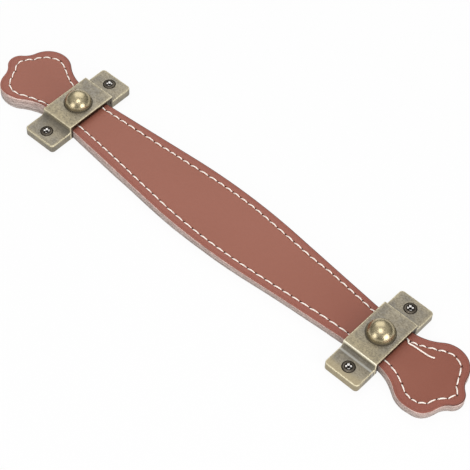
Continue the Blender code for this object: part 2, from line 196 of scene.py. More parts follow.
STITCH_DRIFT = (
    (0, 0), (2, -0.45), (5, -0.65), (7, -0.4), (12, -0.45), (15, -1.15), (23, -1.1), (28, -0.75), (34, -0.65),
    (37, -0.9), (40, -0.85), (46, -0.1), (51, -0.1), (57, -0.6), (66, -0.1), (74, -0.25), (76, 0), (79, -0.2),
    (87, -0.7), (91, -0.1), (95, -0.6), (98, -0.2), (105, -0.35), (110, 0.15), (118, 0), (123, 0),
)
SEWING_WANDER = (
    (0, 0.7), (1, 0.6), (2, 0.1), (4, 0.6), (5, 0.5), (7, -0.4), (9, -0.1), (10, -0.4), (11, 0),
    (12, -0.3), (14, 0.3), (17, 0.1), (22, -0.5), (26, 0), (32, -0.1), (43, 0), (46, 0.3), (54, 0.5),
    (57, 0.2), (61, -0.6), (63, -0.6), (65, 0.7), (66.5, 0.7), (68, 0), (69, 0), (70, 0.4), (71, -0.5),
    (72, -0.4), (74, 0.7), (76, -0.6), (77, -0.7), (79, -0.2), (84, -0.3), (87, -0.1), (91, 0.3),
    (95, 0.5), (100, 0.1), (103, 0), (106, 0.3), (110, 0.2), (113, -0.6), (117, -0.6), (119, -0.3),
    (123, 0.7),
)
SLANT_OUT = (
    (-112, 0), (-99, 0.5), (-90, 0.1), (-70, 0.4), (-50, 0.35), (-35, 0.05), (-20, 0), (10, -0.3), (45, -0.6),
    (60, -0.35), (75, 0), (90, 0), (101, 0.3), (108, 0), (111, 0), (116.5, 0.8), (121, 0),
)
PARED = (
    (-118, 0), (-107, 1.8), (-96, 1.7), (-88, 0), (-75, 0), (-55, 0.2), (45, 0.22), (60, 0.1), (72, 0),
    (111, 0), (116.5, -0.8), (121, 0),
)


def cut_inset(point, height):
    """How far the cut edge lies inside the outline at one height above the mounting surface."""
    if point.y > 0:
        return 0.0
    share = height / STRAP_TOP
    place = point.x / MM
    return (along_table(place, PARED) * share - along_table(place, SLANT_OUT) * (1 - share)) * MM


def lie(point):
    """Where a point of the outline comes to lie: the strap sits a little askew in its clamps."""
    turned = Matrix.Rotation(STRAP_TURN, 2) @ point
    return turned + Vector((STRAP_SLIDE, STRAP_SHIFT))


print("%d habits of the sewing line, %d of its stitches" % (len(SEWING_WANDER), len(STITCH_DRIFT)))

# %% [markdown]
# ## Steps along the sewing
#
# The rings share one set of columns. The columns are spread along the sewing and not along the edge, sixteen
# to each stitch, so that a needle hole always has a column of its own.


# %% Columns of the strap
STITCH_INSET = 3.5 * MM
STITCH_PITCH = 4.25 * MM
COLUMNS_A_STITCH = 16
FIRST_HOLE_X = CLAMP_X + CLAMP_WIDTH / 2 + 1.3 * MM
SEARCH_STEP = 0.05 * MM


def piece_length(piece):
    """Length of the sewing along an arc or a straight of the outline."""
    if len(piece) == 2:
        return (piece[1] - piece[0]).length
    _, radius, start, end = piece
    return abs(end - start) * (abs(radius) - math.copysign(STITCH_INSET, radius))


def piece_point(piece, share):
    """Edge point and inward direction at a share of an arc or a straight."""
    if len(piece) == 2:
        run = (piece[1] - piece[0]).normalized()
        return piece[0].lerp(piece[1], share), Vector((run.y, -run.x))
    centre, radius, start, end = piece
    angle = start + (end - start) * share
    spoke = Vector((math.cos(angle), math.sin(angle)))
    return centre + spoke * abs(radius), spoke * -math.copysign(1, radius)


def outline_walk():
    """The whole outline, clockwise from above, as (piece, length, side_x, side_y, walked backwards)."""
    walk = []
    for side_x, side_y in ((1, 1), (1, -1), (-1, -1), (-1, 1)):
        quarter = quarter_arcs(side_y * TIP_LEAN[side_x])
        backwards = side_x != side_y
        for piece in (reversed(quarter) if backwards else quarter):
            walk.append((piece, piece_length(piece), side_x, side_y, backwards))
    return walk


WALK = outline_walk()
SEWING_LENGTH = sum(length for piece, length, *_ in WALK)
STITCHES = round(SEWING_LENGTH / STITCH_PITCH)


def walk_point(distance):
    """Edge point and inward direction at a distance along the sewing."""
    distance = distance % SEWING_LENGTH
    for piece, length, side_x, side_y, backwards in WALK:
        if distance <= length:
            break
        distance -= length
    share = min(distance / length, 1.0)
    point, inward = piece_point(piece, 1 - share if backwards else share)
    flip = Vector((side_x, side_y))
    return point * flip, inward * flip


def first_hole_distance():
    """Where along the sewing the first needle hole lies."""
    distance = 0.0
    point, inward = walk_point(distance)
    while lie(point + inward * STITCH_INSET).x < FIRST_HOLE_X:
        distance += SEARCH_STEP
        point, inward = walk_point(distance)
    return distance


def columns():
    """Edge point, inward direction and sewing inset of every column, the first at the first needle hole."""
    start = first_hole_distance()
    found = []
    for number in range(STITCHES * COLUMNS_A_STITCH):
        stitch = number / COLUMNS_A_STITCH
        distance = (stitch + along_table(stitch, STITCH_DRIFT)) * SEWING_LENGTH / STITCHES
        point, inward = walk_point(start + distance)
        found.append((point, inward, STITCH_INSET + along_table(stitch, SEWING_WANDER) * MM))
    return found


COLUMNS = columns()
print("%d columns, %d stitches of %.2f mm" % (len(COLUMNS), STITCHES, SEWING_LENGTH / STITCHES / MM))

# %% [markdown]
# ## A ring builder
#
# Both plies are rings of points joined by quads: from the middle of the hidden side, out, up the cut edge,
# over the shoulder and in across the sewing. A function gives each point its inset, its height and the
# values that the finish needs. The two middles are closed with flat rungs, from the far side to the near.


# %% Ring meshes
def new_object(name, data):
    """An object in the scene."""
    made = bpy.data.objects.new(name, data)
    bpy.context.scene.collection.objects.link(made)
    return made


def to_object(work, name):
    """An object from a bmesh, its faces pointing out."""
    bmesh.ops.recalc_face_normals(work, faces=work.faces)
    mesh = bpy.data.meshes.new(name)
    work.to_mesh(mesh)
    work.free()
    return new_object(name, mesh)


def join_rows(work, rows):
    """Join neighbouring rows of points with quads all round."""
    for low, high in zip(rows, rows[1:]):
        for n in range(len(low)):
            m = (n + 1) % len(low)
            work.faces.new((low[n], low[m], high[m], high[n]))


def close_ring(work, row):
    """Close a ring with rungs across it, from the right tip to the left one."""
    count = len(row)
    tip = max(range(count), key=lambda n: row[n].co.x)
    for step in range(count // 2):
        corners = [row[(tip + n) % count] for n in (step, step + 1, -step - 1, -step)]
        work.faces.new(list(dict.fromkeys(corners)))


def ring_mesh(name, rings, marks):
    """A closed body from rings, each with its points and, by name, one number for each point and mark."""
    work = bmesh.new()
    layers = {mark: work.verts.layers.float.new(mark) for mark in marks}
    rows = []
    for ring in rings:
        row = [work.verts.new(point) for point in ring["points"]]
        for mark, layer in layers.items():
            for vert, value in zip(row, ring[mark]):
                vert[layer] = value
        rows.append(row)
    join_rows(work, rows)
    close_ring(work, rows[0])
    close_ring(work, rows[-1])
    made = to_object(work, name)
    made.data.shade_smooth()
    print("%s: %d faces" % (name, len(made.data.polygons)))
    return made


# %% [markdown]
# ## Needle holes
#
# A needle hole is a slit beside the joint of two stitches, because the needle leans. Each point of a ply
# knows how far it lies from the nearest hole, along the sewing and across it. The rings dip there, and the
# finish paints the shade in the same slit sharply, without needing a finer mesh.

# %% Places of the needle holes
HOLE_SHIFT = 0.36 * MM
HOLE_SIDE = Vector((0.30, 0.95))
HOLE_LENGTH = 0.55 * MM
HOLE_WIDTH = 0.27 * MM


def hole_along(number):
    """Distance along the sewing from a column to the nearest needle hole."""
    place = number % COLUMNS_A_STITCH
    return min(place, COLUMNS_A_STITCH - place) * SEWING_LENGTH / len(COLUMNS)


def hole_aside(number, inset):
    """Distance across the sewing from a needle hole, at an inset from the edge."""
    _, inward, sewn = COLUMNS[number]
    return inset - sewn - HOLE_SHIFT * inward.dot(HOLE_SIDE)


def bell(distance, width):
    """1 at no distance, falling off smoothly."""
    return math.exp(-((distance / width) ** 2))


def hole_pull(number, inset):
    """1 in the middle of a needle hole, falling to 0 around it."""
    return bell(math.hypot(hole_along(number) / HOLE_LENGTH, hole_aside(number, inset) / HOLE_WIDTH), 1.0)


def ply_ring(inset_of, height_of, raw):
    """One ring of a ply: its points, how raw it is, and where each point lies from the needle holes."""
    ring = {"points": [], "raw_cut": [], "hole_along": [], "hole_aside": []}
    for number, (point, inward, _) in enumerate(COLUMNS):
        inset = inset_of(number)
        flat = lie(point + inward * inset)
        ring["points"].append((flat.x, flat.y, height_of(number, inset)))
        ring["raw_cut"].append(raw)
        ring["hole_along"].append(hole_along(number) / MM)
        ring["hole_aside"].append(hole_aside(number, inset) / MM)
    return ring


PLY_MARKS = ("raw_cut", "hole_along", "hole_aside")
print("a needle hole every %d columns" % COLUMNS_A_STITCH)

# %% [markdown]
# ## The skin
#
# The face ply is a coated skin. Its edge is rounded over, a creasing iron has pressed a thin line just inside
# the edge, and the thread has pulled the skin down into a shallow groove with a dimple at each needle hole.

# %% Section of the skin
SHOULDER = 0.28 * MM
SHOULDER_MARK = 0.2
CREASE_INSET = 0.95 * MM
CREASE_HALF = 0.22 * MM
CREASE_DEPTH = 0.13 * MM
CREASE_SPREAD = 0.8
CUT_TEAR = 0.05 * MM
GROOVE_WIDTH = 0.45 * MM
GROOVE_DEPTH = 0.14 * MM
HOLE_DEPTH = 0.40 * MM
RIM_WIDTH = 2.4 * MM
GROOVE_STEPS = (-1.0, -0.75, -0.6, -0.47, -0.35, -0.23, -0.1, 0.0, 0.1, 0.23, 0.35, 0.47, 0.6, 0.75, 1.0, 1.3)
CUT_STEPS = 5
SHOULDER_STEPS = 4
CREASE_STEPS = (-2.0, -1.0, -0.5, 0.0, 0.5, 1.0, 2.0)
EDGE_NOISE_ALONG = 260.0
EDGE_NOISE_UP = 2600.0


def cut_rings(low, high, steps, amount):
    """Rings up the cut edge between two heights, with the small ins and outs of torn fibres."""
    rings = []
    for step in range(steps + 1):
        height = low + (high - low) * step / steps

        def inset_of(number):
            """The cut's place, drawn out along the cut."""
            point = COLUMNS[number][0]
            place = Vector((point.x * EDGE_NOISE_ALONG, point.y * EDGE_NOISE_ALONG, height * EDGE_NOISE_UP))
            return cut_inset(point, height) + amount * noise.noise(place)

        rings.append(ply_ring(inset_of, lambda number, inset: height, 1.0))
    return rings


def sewn_ring(offset, height, depth, hole_depth):
    """A ring beside the sewing, pulled in by the thread and by the needle."""
    level = height - depth * bell(offset, GROOVE_WIDTH)
    return ply_ring(
        lambda number: COLUMNS[number][2] + offset,
        lambda number, inset: level - hole_depth * hole_pull(number, inset),
        0.0,
    )


# %% Build the skin
def rim_ring(inset, height, raw=0.0):
    """A ring near the edge of the skin, squeezed where the edge was pared."""
    def inset_of(number):
        edge = cut_inset(COLUMNS[number][0], STRAP_TOP)
        return edge + inset * (1 - edge / RIM_WIDTH)
    return ply_ring(inset_of, lambda number, inset: height, raw)


def make_skin():
    """The face ply: cut edge, rounded shoulder, creased rim, sewn groove and flat middle."""
    rings = cut_rings(PLY_SEAM, STRAP_TOP - SHOULDER, CUT_STEPS, CUT_TEAR)
    for step in range(SHOULDER_STEPS + 1):
        angle = math.pi / 2 * step / SHOULDER_STEPS
        raw = max(1.0 - 0.6 * step, SHOULDER_MARK)
        height = STRAP_TOP - SHOULDER * (1 - math.sin(angle))
        rings.append(rim_ring(SHOULDER * (1 - math.cos(angle)), height, raw))
    for share in CREASE_STEPS:
        height = STRAP_TOP - CREASE_DEPTH * bell(share, CREASE_SPREAD)
        rings.append(rim_ring(CREASE_INSET + share * CREASE_HALF, height))
    for aside in GROOVE_STEPS:
        rings.append(sewn_ring(aside * MM, STRAP_TOP, GROOVE_DEPTH, HOLE_DEPTH))
    return ring_mesh("strap_skin", rings, PLY_MARKS)


strap_skin = make_skin()

# %% [markdown]
# ## The backing
#
# The back ply is a thicker board of ground fibres. Its cut edge is never smooth, so its rings wave in and out
# by a tenth of a millimetre, and its underside has the lower thread's groove.

# %% Build the backing
FOOT_ROUNDING = 0.15 * MM
BACK_GROOVE_DEPTH = 0.62 * MM
BACK_HOLE_DEPTH = 0.35 * MM
BACK_GROOVE_STEPS = (1.3, 1.0, 0.8, 0.6, 0.45, 0.3, 0.15, 0.0, -0.15, -0.3, -0.45, -0.6, -0.8, -1.1)
BACK_CUT_STEPS = 9
BACK_TEAR = 0.11 * MM


def make_backing():
    """The back ply, from the middle of its underside out and up to the seam."""
    rings = []
    for aside in BACK_GROOVE_STEPS:
        rings.append(sewn_ring(aside * MM, 0.0, -BACK_GROOVE_DEPTH, -BACK_HOLE_DEPTH))
    for height in (0.0, FOOT_ROUNDING / 3):
        rings.append(ply_ring(
            lambda number: cut_inset(COLUMNS[number][0], height) + FOOT_ROUNDING - height * 2,
            lambda number, inset: height,
            0.5,
        ))
    rings += cut_rings(FOOT_ROUNDING, PLY_SEAM, BACK_CUT_STEPS, BACK_TEAR)
    return ring_mesh("strap_backing", rings, PLY_MARKS)


strap_backing = make_backing()

# %% [markdown]
# ## Fields
#
# A node tree, whether it makes a shape or a finish, works on numbers that change from place to place. A small
# class lets such a number be written like any other in Python: adding two fields makes the Math node that
# adds them, and a ramp makes a smooth Map Range.


# %% Fields and nodes
class Field:
    """A value that changes from place to place: one output of a node in a tree."""

    def __init__(self, tree, socket):
        self.tree = tree
        self.socket = socket

    def maths(self, operation, *others):
        """A Math node of this value and others."""
        return field(self.tree, "ShaderNodeMath", (self, *others), operation=operation)

    def __add__(self, other):
        return self.maths("ADD", other)

    def __sub__(self, other):
        return self.maths("SUBTRACT", other)

    def __rsub__(self, other):
        return field(self.tree, "ShaderNodeMath", (other, self), operation="SUBTRACT")

    def __mul__(self, other):
        return self.maths("MULTIPLY", other)

    def __truediv__(self, other):
        return self.maths("DIVIDE", other)

    def __abs__(self):
        return self.maths("ABSOLUTE")

    def at_least(self, other):
        """The larger of this value and another."""
        return self.maths("MAXIMUM", other)

    def at_most(self, other):
        """The smaller of this value and another."""
        return self.maths("MINIMUM", other)

    def ramp(self, start, end, low=0.0, high=1.0):
        """A smooth change from low to high as this value goes from start to end."""
        inputs = (self, start, end, low, high)
        return field(self.tree, "ShaderNodeMapRange", inputs, interpolation_type="SMOOTHSTEP")

    def split(self):
        """The three numbers of a vector."""
        node = add_node(self.tree, "ShaderNodeSeparateXYZ", (self,))
        return [Field(self.tree, socket) for socket in node.outputs]


def feed(node, inputs):
    """Give a node's inputs, by name or in order, a link or a constant."""
    for key, value in inputs.items() if isinstance(inputs, dict) else enumerate(inputs):
        if isinstance(value, Field):
            value.tree.links.new(value.socket, node.inputs[key])
        else:
            node.inputs[key].default_value = value


def add_node(tree, kind, inputs=(), **settings):
    """Add a node, set its plain properties and feed its inputs."""
    node = tree.nodes.new(kind)
    for name, value in settings.items():
        setattr(node, name, value)
    feed(node, inputs)
    return node


def field(tree, kind, inputs=(), output=0, **settings):
    """Add a node, as the field of one of its outputs."""
    return Field(tree, add_node(tree, kind, inputs, **settings).outputs[output])


def far_from(first, second):
    """Distance from a pair of offsets."""
    return (first * first + second * second).maths("SQRT")


def new_group(name, kind, inputs, outputs):
    """A node group with its sockets, as (name, type); gives its tree and its inputs as fields by name."""
    tree = bpy.data.node_groups.new(name, kind)
    for way, sockets in (("INPUT", inputs), ("OUTPUT", outputs)):
        for socket_name, socket_type in sockets:
            tree.interface.new_socket(socket_name, in_out=way, socket_type="NodeSocket" + socket_type)
    given = add_node(tree, "NodeGroupInput").outputs
    return tree, {socket.name: Field(tree, socket) for socket in given if socket.name}


print("fields ready")

# %% [markdown]
# ## Stitches with Geometry Nodes
#
# Every stitch is the same short bow of thread that dives into the leather at both ends. A node tree places
# one bow on the middle of each stitch, stretches and turns it from hole to hole with a little slant of its
# own, and makes the copies real. The bow carries two numbers, along and around, which the thread's finish
# reads for twist.


# %% One stitch
THREAD_RADIUS = 0.31 * MM
THIN_START = 1.4
THIN_SHARE = 0.45
BOW_STEPS = 9
BOW_SIDES = 8


def capture(curve, value):
    """Keep a value on the points of a curve; gives the curve and the kept value."""
    node = add_node(curve.tree, "GeometryNodeCaptureAttribute", domain="POINT")
    node.capture_items.new("FLOAT", "kept")
    feed(node, (curve, value))
    return [Field(curve.tree, socket) for socket in node.outputs[:2]]


def vector(tree, x, y, z):
    """A vector from three numbers."""
    return field(tree, "ShaderNodeCombineXYZ", (x, y, z))


def bow_mesh(tree, size):
    """One stitch lying along X: a bow of thread with thinner ends."""
    half = size["Length"] * 0.5
    bow = field(tree, "GeometryNodeCurveQuadraticBezier", {
        "Resolution": BOW_STEPS,
        "Start": vector(tree, half * -1.0, 0.0, size["Dive"] * -1.25),
        "Middle": vector(tree, 0.0, size["Bow"], size["Dive"]),
        "End": vector(tree, half, 0.0, size["Dive"] * -1.0),
    })
    factor = field(tree, "GeometryNodeSplineParameter", output="Factor")
    rail, along = capture(bow, factor)
    circle = {"Resolution": BOW_SIDES, "Radius": size["Thread Radius"]}
    ring, around = capture(field(tree, "GeometryNodeCurvePrimitiveCircle", circle), factor)
    swell = (factor.maths("POWER", THIN_START) * math.pi).maths("SINE").at_least(0.0)
    thickness = swell.maths("SQRT") * THIN_SHARE + (1 - THIN_SHARE)
    tube = {"Curve": rail, "Profile Curve": ring, "Scale": thickness, "Fill Caps": True}
    mesh = field(tree, "GeometryNodeCurveToMesh", tube)
    for name, value in (("along", along), ("around", around)):
        named = {"Geometry": mesh, "Name": name, "Value": value}
        mesh = field(tree, "GeometryNodeStoreNamedAttribute", named, data_type="FLOAT", domain="POINT")
    return mesh


# %% The stitch tree
STRETCH_SHARE = 0.6


def stitch_tree():
    """The tree that lays one stitch on each point, along the way that the point carries."""
    lengths = ("Length", "Pitch", "Thread Radius", "Bow", "Dive", "Slant", "Unevenness")
    geometry = ("Geometry", "Geometry")
    sockets = (geometry, *((name, "Float") for name in lengths), ("Seed", "Int"), ("Thread", "Material"))
    tree, size = new_group("sewn stitches", "GeometryNodeTree", sockets, [geometry])
    way = field(tree, "GeometryNodeInputNamedAttribute", {"Name": "stitch_way"}, data_type="FLOAT_VECTOR")
    facing = field(tree, "FunctionNodeAlignRotationToVector", {"Vector": way}, axis="X", pivot_axis="Z")
    run = field(tree, "ShaderNodeVectorMath", (way,), "Value", operation="LENGTH")
    drawn = {2: size["Unevenness"] * -1.0, 3: size["Unevenness"], "Seed": size["Seed"]}
    uneven = field(tree, "FunctionNodeRandomValue", drawn, 1, data_type="FLOAT")
    slant = field(tree, "FunctionNodeEulerToRotation", (vector(tree, 0.0, 0.0, size["Slant"] + uneven),))
    turns = {"Rotation": facing, "Rotate By": slant}
    placed = field(tree, "GeometryNodeInstanceOnPoints", {
        "Points": size["Geometry"],
        "Instance": bow_mesh(tree, size),
        "Rotation": field(tree, "FunctionNodeRotateRotation", turns, rotation_space="LOCAL"),
        "Scale": vector(tree, run / size["Pitch"] + uneven * STRETCH_SHARE, 1.0, 1.0),
    })
    real = field(tree, "GeometryNodeRealizeInstances", {"Geometry": placed})
    smooth = field(tree, "GeometryNodeSetShadeSmooth", {"Geometry": real})
    dyed = field(tree, "GeometryNodeSetMaterial", {"Geometry": smooth, "Material": size["Thread"]})
    add_node(tree, "NodeGroupOutput", {"Geometry": dyed})
    return tree


sewn_stitches = stitch_tree()
print("stitch tree: %d nodes" % len(sewn_stitches.nodes))


# %% Run a tree and keep its mesh
def settled(made, name):
    """A plain mesh object of what an object evaluates to; the object itself is removed."""
    bpy.context.view_layer.update()
    graph = bpy.context.evaluated_depsgraph_get()
    seen = made.evaluated_get(graph)
    mesh = bpy.data.meshes.new_from_object(seen, preserve_all_data_layers=True, depsgraph=graph)
    bpy.data.objects.remove(made, do_unlink=True)
    mesh.name = name
    return new_object(name, mesh)


def stitch_places(height):
    """A point in the middle of each stitch, with the way from its first hole to its second."""
    flats = [lie(point + inward * sewn) for point, inward, sewn in COLUMNS[::COLUMNS_A_STITCH]]
    holes = [Vector((flat.x, flat.y, height)) for flat in flats]
    ways = [there - here for here, there in zip(holes, holes[1:] + holes[:1])]
    mesh = bpy.data.meshes.new("stitch_places")
    mesh.from_pydata([hole + way / 2 for hole, way in zip(holes, ways)], [], [])
    carried = mesh.attributes.new("stitch_way", "FLOAT_VECTOR", "POINT")
    for value, way in zip(carried.data, ways):
        value.vector = way
    return new_object("stitch_places", mesh)


def sew(name, height, values):
    """All the stitches of one side of the strap. Each value goes to its socket by the socket's identifier."""
    places = stitch_places(height)
    modifier = places.modifiers.new("stitches", "NODES")
    modifier.node_group = sewn_stitches
    for item in sewn_stitches.interface.items_tree:
        if item.name in values and item.in_out == "INPUT":
            modifier[item.identifier] = values[item.name]
    made = settled(places, name)
    print("%s: %d stitches, %d faces" % (name, STITCHES, len(made.data.polygons)))
    return made


# %% [markdown]
# ## Finishes
#
# The colours are written as the eye sees them on a screen, from 0 to 255, and turned into the linear values
# that the shader wants. A finish starts from one colour and lays coats over it, each only where its field
# says. Fine grain is one node group, used by every finish at its own scale.


# %% Colour and texture helpers
def linear(colour):
    """A colour field as it is, or a screen colour turned linear."""
    if isinstance(colour, Field):
        return colour
    shares = [value / 255 for value in colour]
    return [x / 12.92 if x <= 0.04045 else ((x + 0.055) / 1.055) ** 2.4 for x in shares] + [1.0]


def layered(colour, *coats):
    """A colour under a row of coats, each as (how far it covers, its colour)."""
    for cover, coat in coats:
        inputs = {0: cover, 6: linear(colour), 7: linear(coat)}
        colour = field(cover.tree, "ShaderNodeMix", inputs, 2, data_type="RGBA")
    return colour


def object_place(tree, scale=(1.0, 1.0, 1.0)):
    """Place on the object in millimetres, stretched as a pattern needs."""
    place = field(tree, "ShaderNodeTexCoord", output="Object")
    return field(tree, "ShaderNodeMapping", {"Vector": place, "Scale": [value / MM for value in scale]})


def cloud(place, scale, detail=3.0, roughness=0.5):
    """Noise from 0 to 1 over a place."""
    inputs = {"Vector": place, "Scale": scale, "Detail": detail, "Roughness": roughness}
    return field(place.tree, "ShaderNodeTexNoise", inputs)


def mark(tree, name, output="Fac"):
    """A number or vector that the mesh carries."""
    return field(tree, "ShaderNodeAttribute", output=output, attribute_name=name)


def new_finish(name, look):
    """A material whose Principled shader takes what a look gives for its sockets."""
    material = bpy.data.materials.new(name)
    material.use_nodes = True
    feed(material.node_tree.nodes["Principled BSDF"], look(material.node_tree))
    return material


def dress(piece, material):
    """Give a piece one material."""
    piece.data.materials.clear()
    piece.data.materials.append(material)


# %% The grain group
GRAIN_INPUTS = ("Place", "Scale", "Detail", "Strength", "Height")


def grain_group():
    """Fine grain: a value from 0 to 1 and the bumped normal that goes with it."""
    sockets = [(name, "Vector" if name == "Place" else "Float") for name in GRAIN_INPUTS]
    results = (("Value", "Float"), ("Normal", "Vector"))
    tree, given = new_group("fine grain", "ShaderNodeTree", sockets, results)
    noisy = {"Vector": given["Place"], "Scale": given["Scale"], "Detail": given["Detail"]}
    value = field(tree, "ShaderNodeTexNoise", noisy)
    bump = {"Strength": given["Strength"], "Distance": given["Height"], "Height": value}
    add_node(tree, "NodeGroupOutput", {"Value": value, "Normal": field(tree, "ShaderNodeBump", bump)})
    return tree


fine_grain = grain_group()


def grain(place, scale, detail, strength, height):
    """The grain group in a material: its value and its normal."""
    inputs = dict(zip(GRAIN_INPUTS, (place, scale, detail, strength, height)))
    node = add_node(place.tree, "ShaderNodeGroup", inputs, node_tree=fine_grain)
    return [Field(place.tree, socket) for socket in node.outputs]


print("grain group: %d nodes" % len(fine_grain.nodes))

# %% [markdown]
# ## Faux leather and its raw cut
#
# One material serves both plies. The mesh says where the surface is a raw cut and where a needle went in.
# The coat is a warm reddish brown, with painted shade that makes it a little darker to the right, and the raw
# cut is pale and streaked along the strap, because the fibres lie flat in the board.


# %% Coat, cut and holes
CUT_LINE = 0.9
RIGHT_END = 100.0


def turned_away(tree):
    """1 along the shoulder of the far side and of the right end, where the colour is darkened."""
    x, y, _ = object_place(tree).split()
    aside = y + (x - RIGHT_END).at_least(0.0) * 0.5
    return mark(tree, "raw_cut").ramp(0.03, SHOULDER_MARK, 0.0, 0.85) * aside.ramp(0.0, 6.0)


def coat_colour(tree):
    """Coat colour: slow changes, fine flecks, a redder mottled rim outside the sewing, painted shade to the
    right.
    """
    place = object_place(tree)
    slow = cloud(place, 0.035, 2.0)
    fleck = cloud(place, 1.6, 4.0, 0.6)
    rim = mark(tree, "hole_aside").ramp(-0.9, -0.3, 1.0, 0.0)
    return layered(
        (153, 94, 77),
        # painted shade: the coat darkens towards the right end, where less light falls
        (place.split()[0].ramp(20.0, 105.0), (135, 76, 59)),
        (slow.ramp(0.35, 0.7, 0.0, 0.5), (149, 91, 73)),
        (rim * fleck.ramp(0.35, 0.65, 0.1, 0.6), (150, 86, 77)),
        (fleck.ramp(0.3, 0.8, 0.0, 0.16), (130, 78, 64)),
        (turned_away(tree), (84, 48, 40)),
    )


def raw_colour(tree):
    """Cut fibres: streaked along the strap, pinker up top, painted highlight on the lip, dark line low down.
    """
    place = object_place(tree)
    height = place.split()[2]
    streaks = cloud(object_place(tree, (0.35, 0.35, 5.0)), 1.0, 4.0, 0.7)
    speckle = cloud(place, 3.5, 3.0, 0.6)
    top = STRAP_TOP / MM
    # the face ply's pale cut, brightened further as a painted highlight along the top of the cut
    pale_lip_and_highlight = height.ramp(top - 0.75, top - 0.4) * streaks.ramp(0.42, 0.58, 0.1, 0.8)
    line = abs(height - CUT_LINE).ramp(0.08, 0.3, 0.7, 0.0) * speckle.ramp(0.4, 0.6, 0.3, 1.0)
    return layered(
        (196, 184, 178),
        (height.ramp(0.3, top), (208, 178, 168)),
        (streaks.ramp(0.35, 0.65, 0.75, 0.0), (124, 106, 98)),
        (speckle.ramp(0.5, 0.75, 0.0, 0.6), (242, 228, 220)),
        (pale_lip_and_highlight, (250, 222, 212)),
        (line, (118, 102, 96)),
    )


def hole_shade(tree):
    """1 inside a needle hole, 0 just outside it."""
    along = mark(tree, "hole_along") / (HOLE_LENGTH / MM)
    aside = mark(tree, "hole_aside") / (HOLE_WIDTH / MM)
    return far_from(along, aside).ramp(0.55, 1.15, 1.0, 0.0)


# %% Leather and backing finishes
def leather_look(tree):
    """Coated faux leather with raw cut edges and dark needle holes."""
    raw = mark(tree, "raw_cut").ramp(0.3, 0.8)
    value, normal = grain(object_place(tree), 2.6, 5.0, 0.35, 0.06 * MM)
    return {
        "Base Color": layered(coat_colour(tree), (raw, raw_colour(tree)), (hole_shade(tree), (48, 26, 20))),
        "Roughness": value.ramp(0.3, 0.7, 0.42, 0.56).at_least(raw * 0.9),
        "Specular IOR Level": 0.35,
        "Normal": normal,
    }


def backing_look(tree):
    """The grey-beige board of the back, paler streaks on its cut."""
    place = object_place(tree)
    board = layered((150, 132, 122), (cloud(place, 0.6, 5.0, 0.65).ramp(0.3, 0.7), (176, 160, 150)))
    raw = mark(tree, "raw_cut").ramp(0.3, 0.8)
    return {
        "Base Color": layered(board, (raw, raw_colour(tree)), (hole_shade(tree), (70, 52, 46))),
        "Roughness": 0.92,
        "Specular IOR Level": 0.2,
        "Normal": grain(place, 3.2, 5.0, 0.6, 0.12 * MM)[1],
    }


dress(strap_skin, new_finish("faux leather", leather_look))
dress(strap_backing, new_finish("grey backing", backing_look))
print("leather and backing dressed")

# %% [markdown]
# ## Thread
#
# The thread is a waxed ivory cord of three strands. Strands are too fine to model on a hundred stitches, so
# a bump follows along and around, the two numbers that the stitch tree wrote on each bow.


# %% Thread finish
STRANDS = 3.0
TWISTS = 4.0


def thread_look(tree):
    """Waxed sewing thread with its twist as bump, and its grooves and crests painted as shade and highlight.
    """
    phase = mark(tree, "around") * STRANDS + mark(tree, "along") * TWISTS
    wave = abs((phase * math.pi).maths("SINE"))
    fibre = cloud(object_place(tree), 5.0, 3.0)
    bump = {"Strength": 0.5, "Distance": 0.06 * MM, "Height": wave}
    return {
        # painted shade and highlight: darker in the grooves between the strands, lighter on their crests
        "Base Color": layered(
            (240, 212, 194),
            (wave.ramp(0.0, 0.35), (255, 246, 236)),
            (fibre.ramp(0.5, 0.8, 0.0, 0.3), (246, 222, 208)),
        ),
        "Roughness": 0.6,
        "Sheen Weight": 0.15,
        "Normal": field(tree, "ShaderNodeBump", bump),
    }


ivory_thread = new_finish("ivory thread", thread_look)

# %% Sew both sides
STITCH_LENGTH = 3.7 * MM
STITCH_RISE = 0.28 * MM
stitch_values = {
    "Length": STITCH_LENGTH,
    "Pitch": STITCH_PITCH,
    "Thread Radius": THREAD_RADIUS,
    "Bow": 0.15 * MM,
    "Dive": 0.62 * MM,
    "Slant": math.radians(3.5),
    "Unevenness": math.radians(3.0),
    "Seed": 4,
    "Thread": ivory_thread,
}
top_stitches = sew("top_stitches", STRAP_TOP + STITCH_RISE, stitch_values)
under_values = dict(stitch_values, Dive=-0.25 * MM, Bow=0.0, Slant=math.radians(-3.0), Seed=9)
under_stitches = sew("under_stitches", THREAD_RADIUS + 0.08 * MM, under_values)

# %% [markdown]
# ## The loose end
#
# By the right clamp the sewing starts with an end that was never trimmed. It rises from a hole just under
# the clamp, bends sharply, runs over the skin in one lazy curve and stops blunt. It is a tube along a smooth
# spline, and it joins the top stitches, since it is the same length of thread.

# %% Build the loose end
TAIL_ROUTE = (
    (-2.1, 0.3, -0.45), (-1.5, 0.1, 0.2), (-0.8, -0.3, 0.36), (-0.15, -1.0, 0.4), (0.5, -1.2, 0.36),
    (2.4, -0.8, 0.3), (4.8, -0.65, 0.28), (6.9, -0.5, 0.28), (9.2, -0.3, 0.28), (10.7, 0.1, 0.28),
    (11.5, 0.55, 0.28),
)
TAIL_START = ((0, 0.35, -0.45), (0, 0.8, -0.3))
TAIL_STOP = ((-1, 0.8, 0.3), (-1, 0.35, 0.45))
TAIL_TWIST = 12
TAIL_STEPS = 6
TAIL_SIDES = 12


def smooth_route(points, steps):
    """Points read from a smooth curve through the given ones."""
    route = []
    for n in range(len(points) - 1):
        before = points[max(n - 1, 0)]
        here, there = points[n], points[n + 1]
        after = points[min(n + 2, len(points) - 1)]
        for step in range(steps):
            t = step / steps
            bend = 2 * before - 5 * here + 4 * there - after
            turn = 3 * here - 3 * there + after - before
            route.append((2 * here + t * (there - before) + t * t * bend + t ** 3 * turn) / 2)
    return route + [points[-1]]


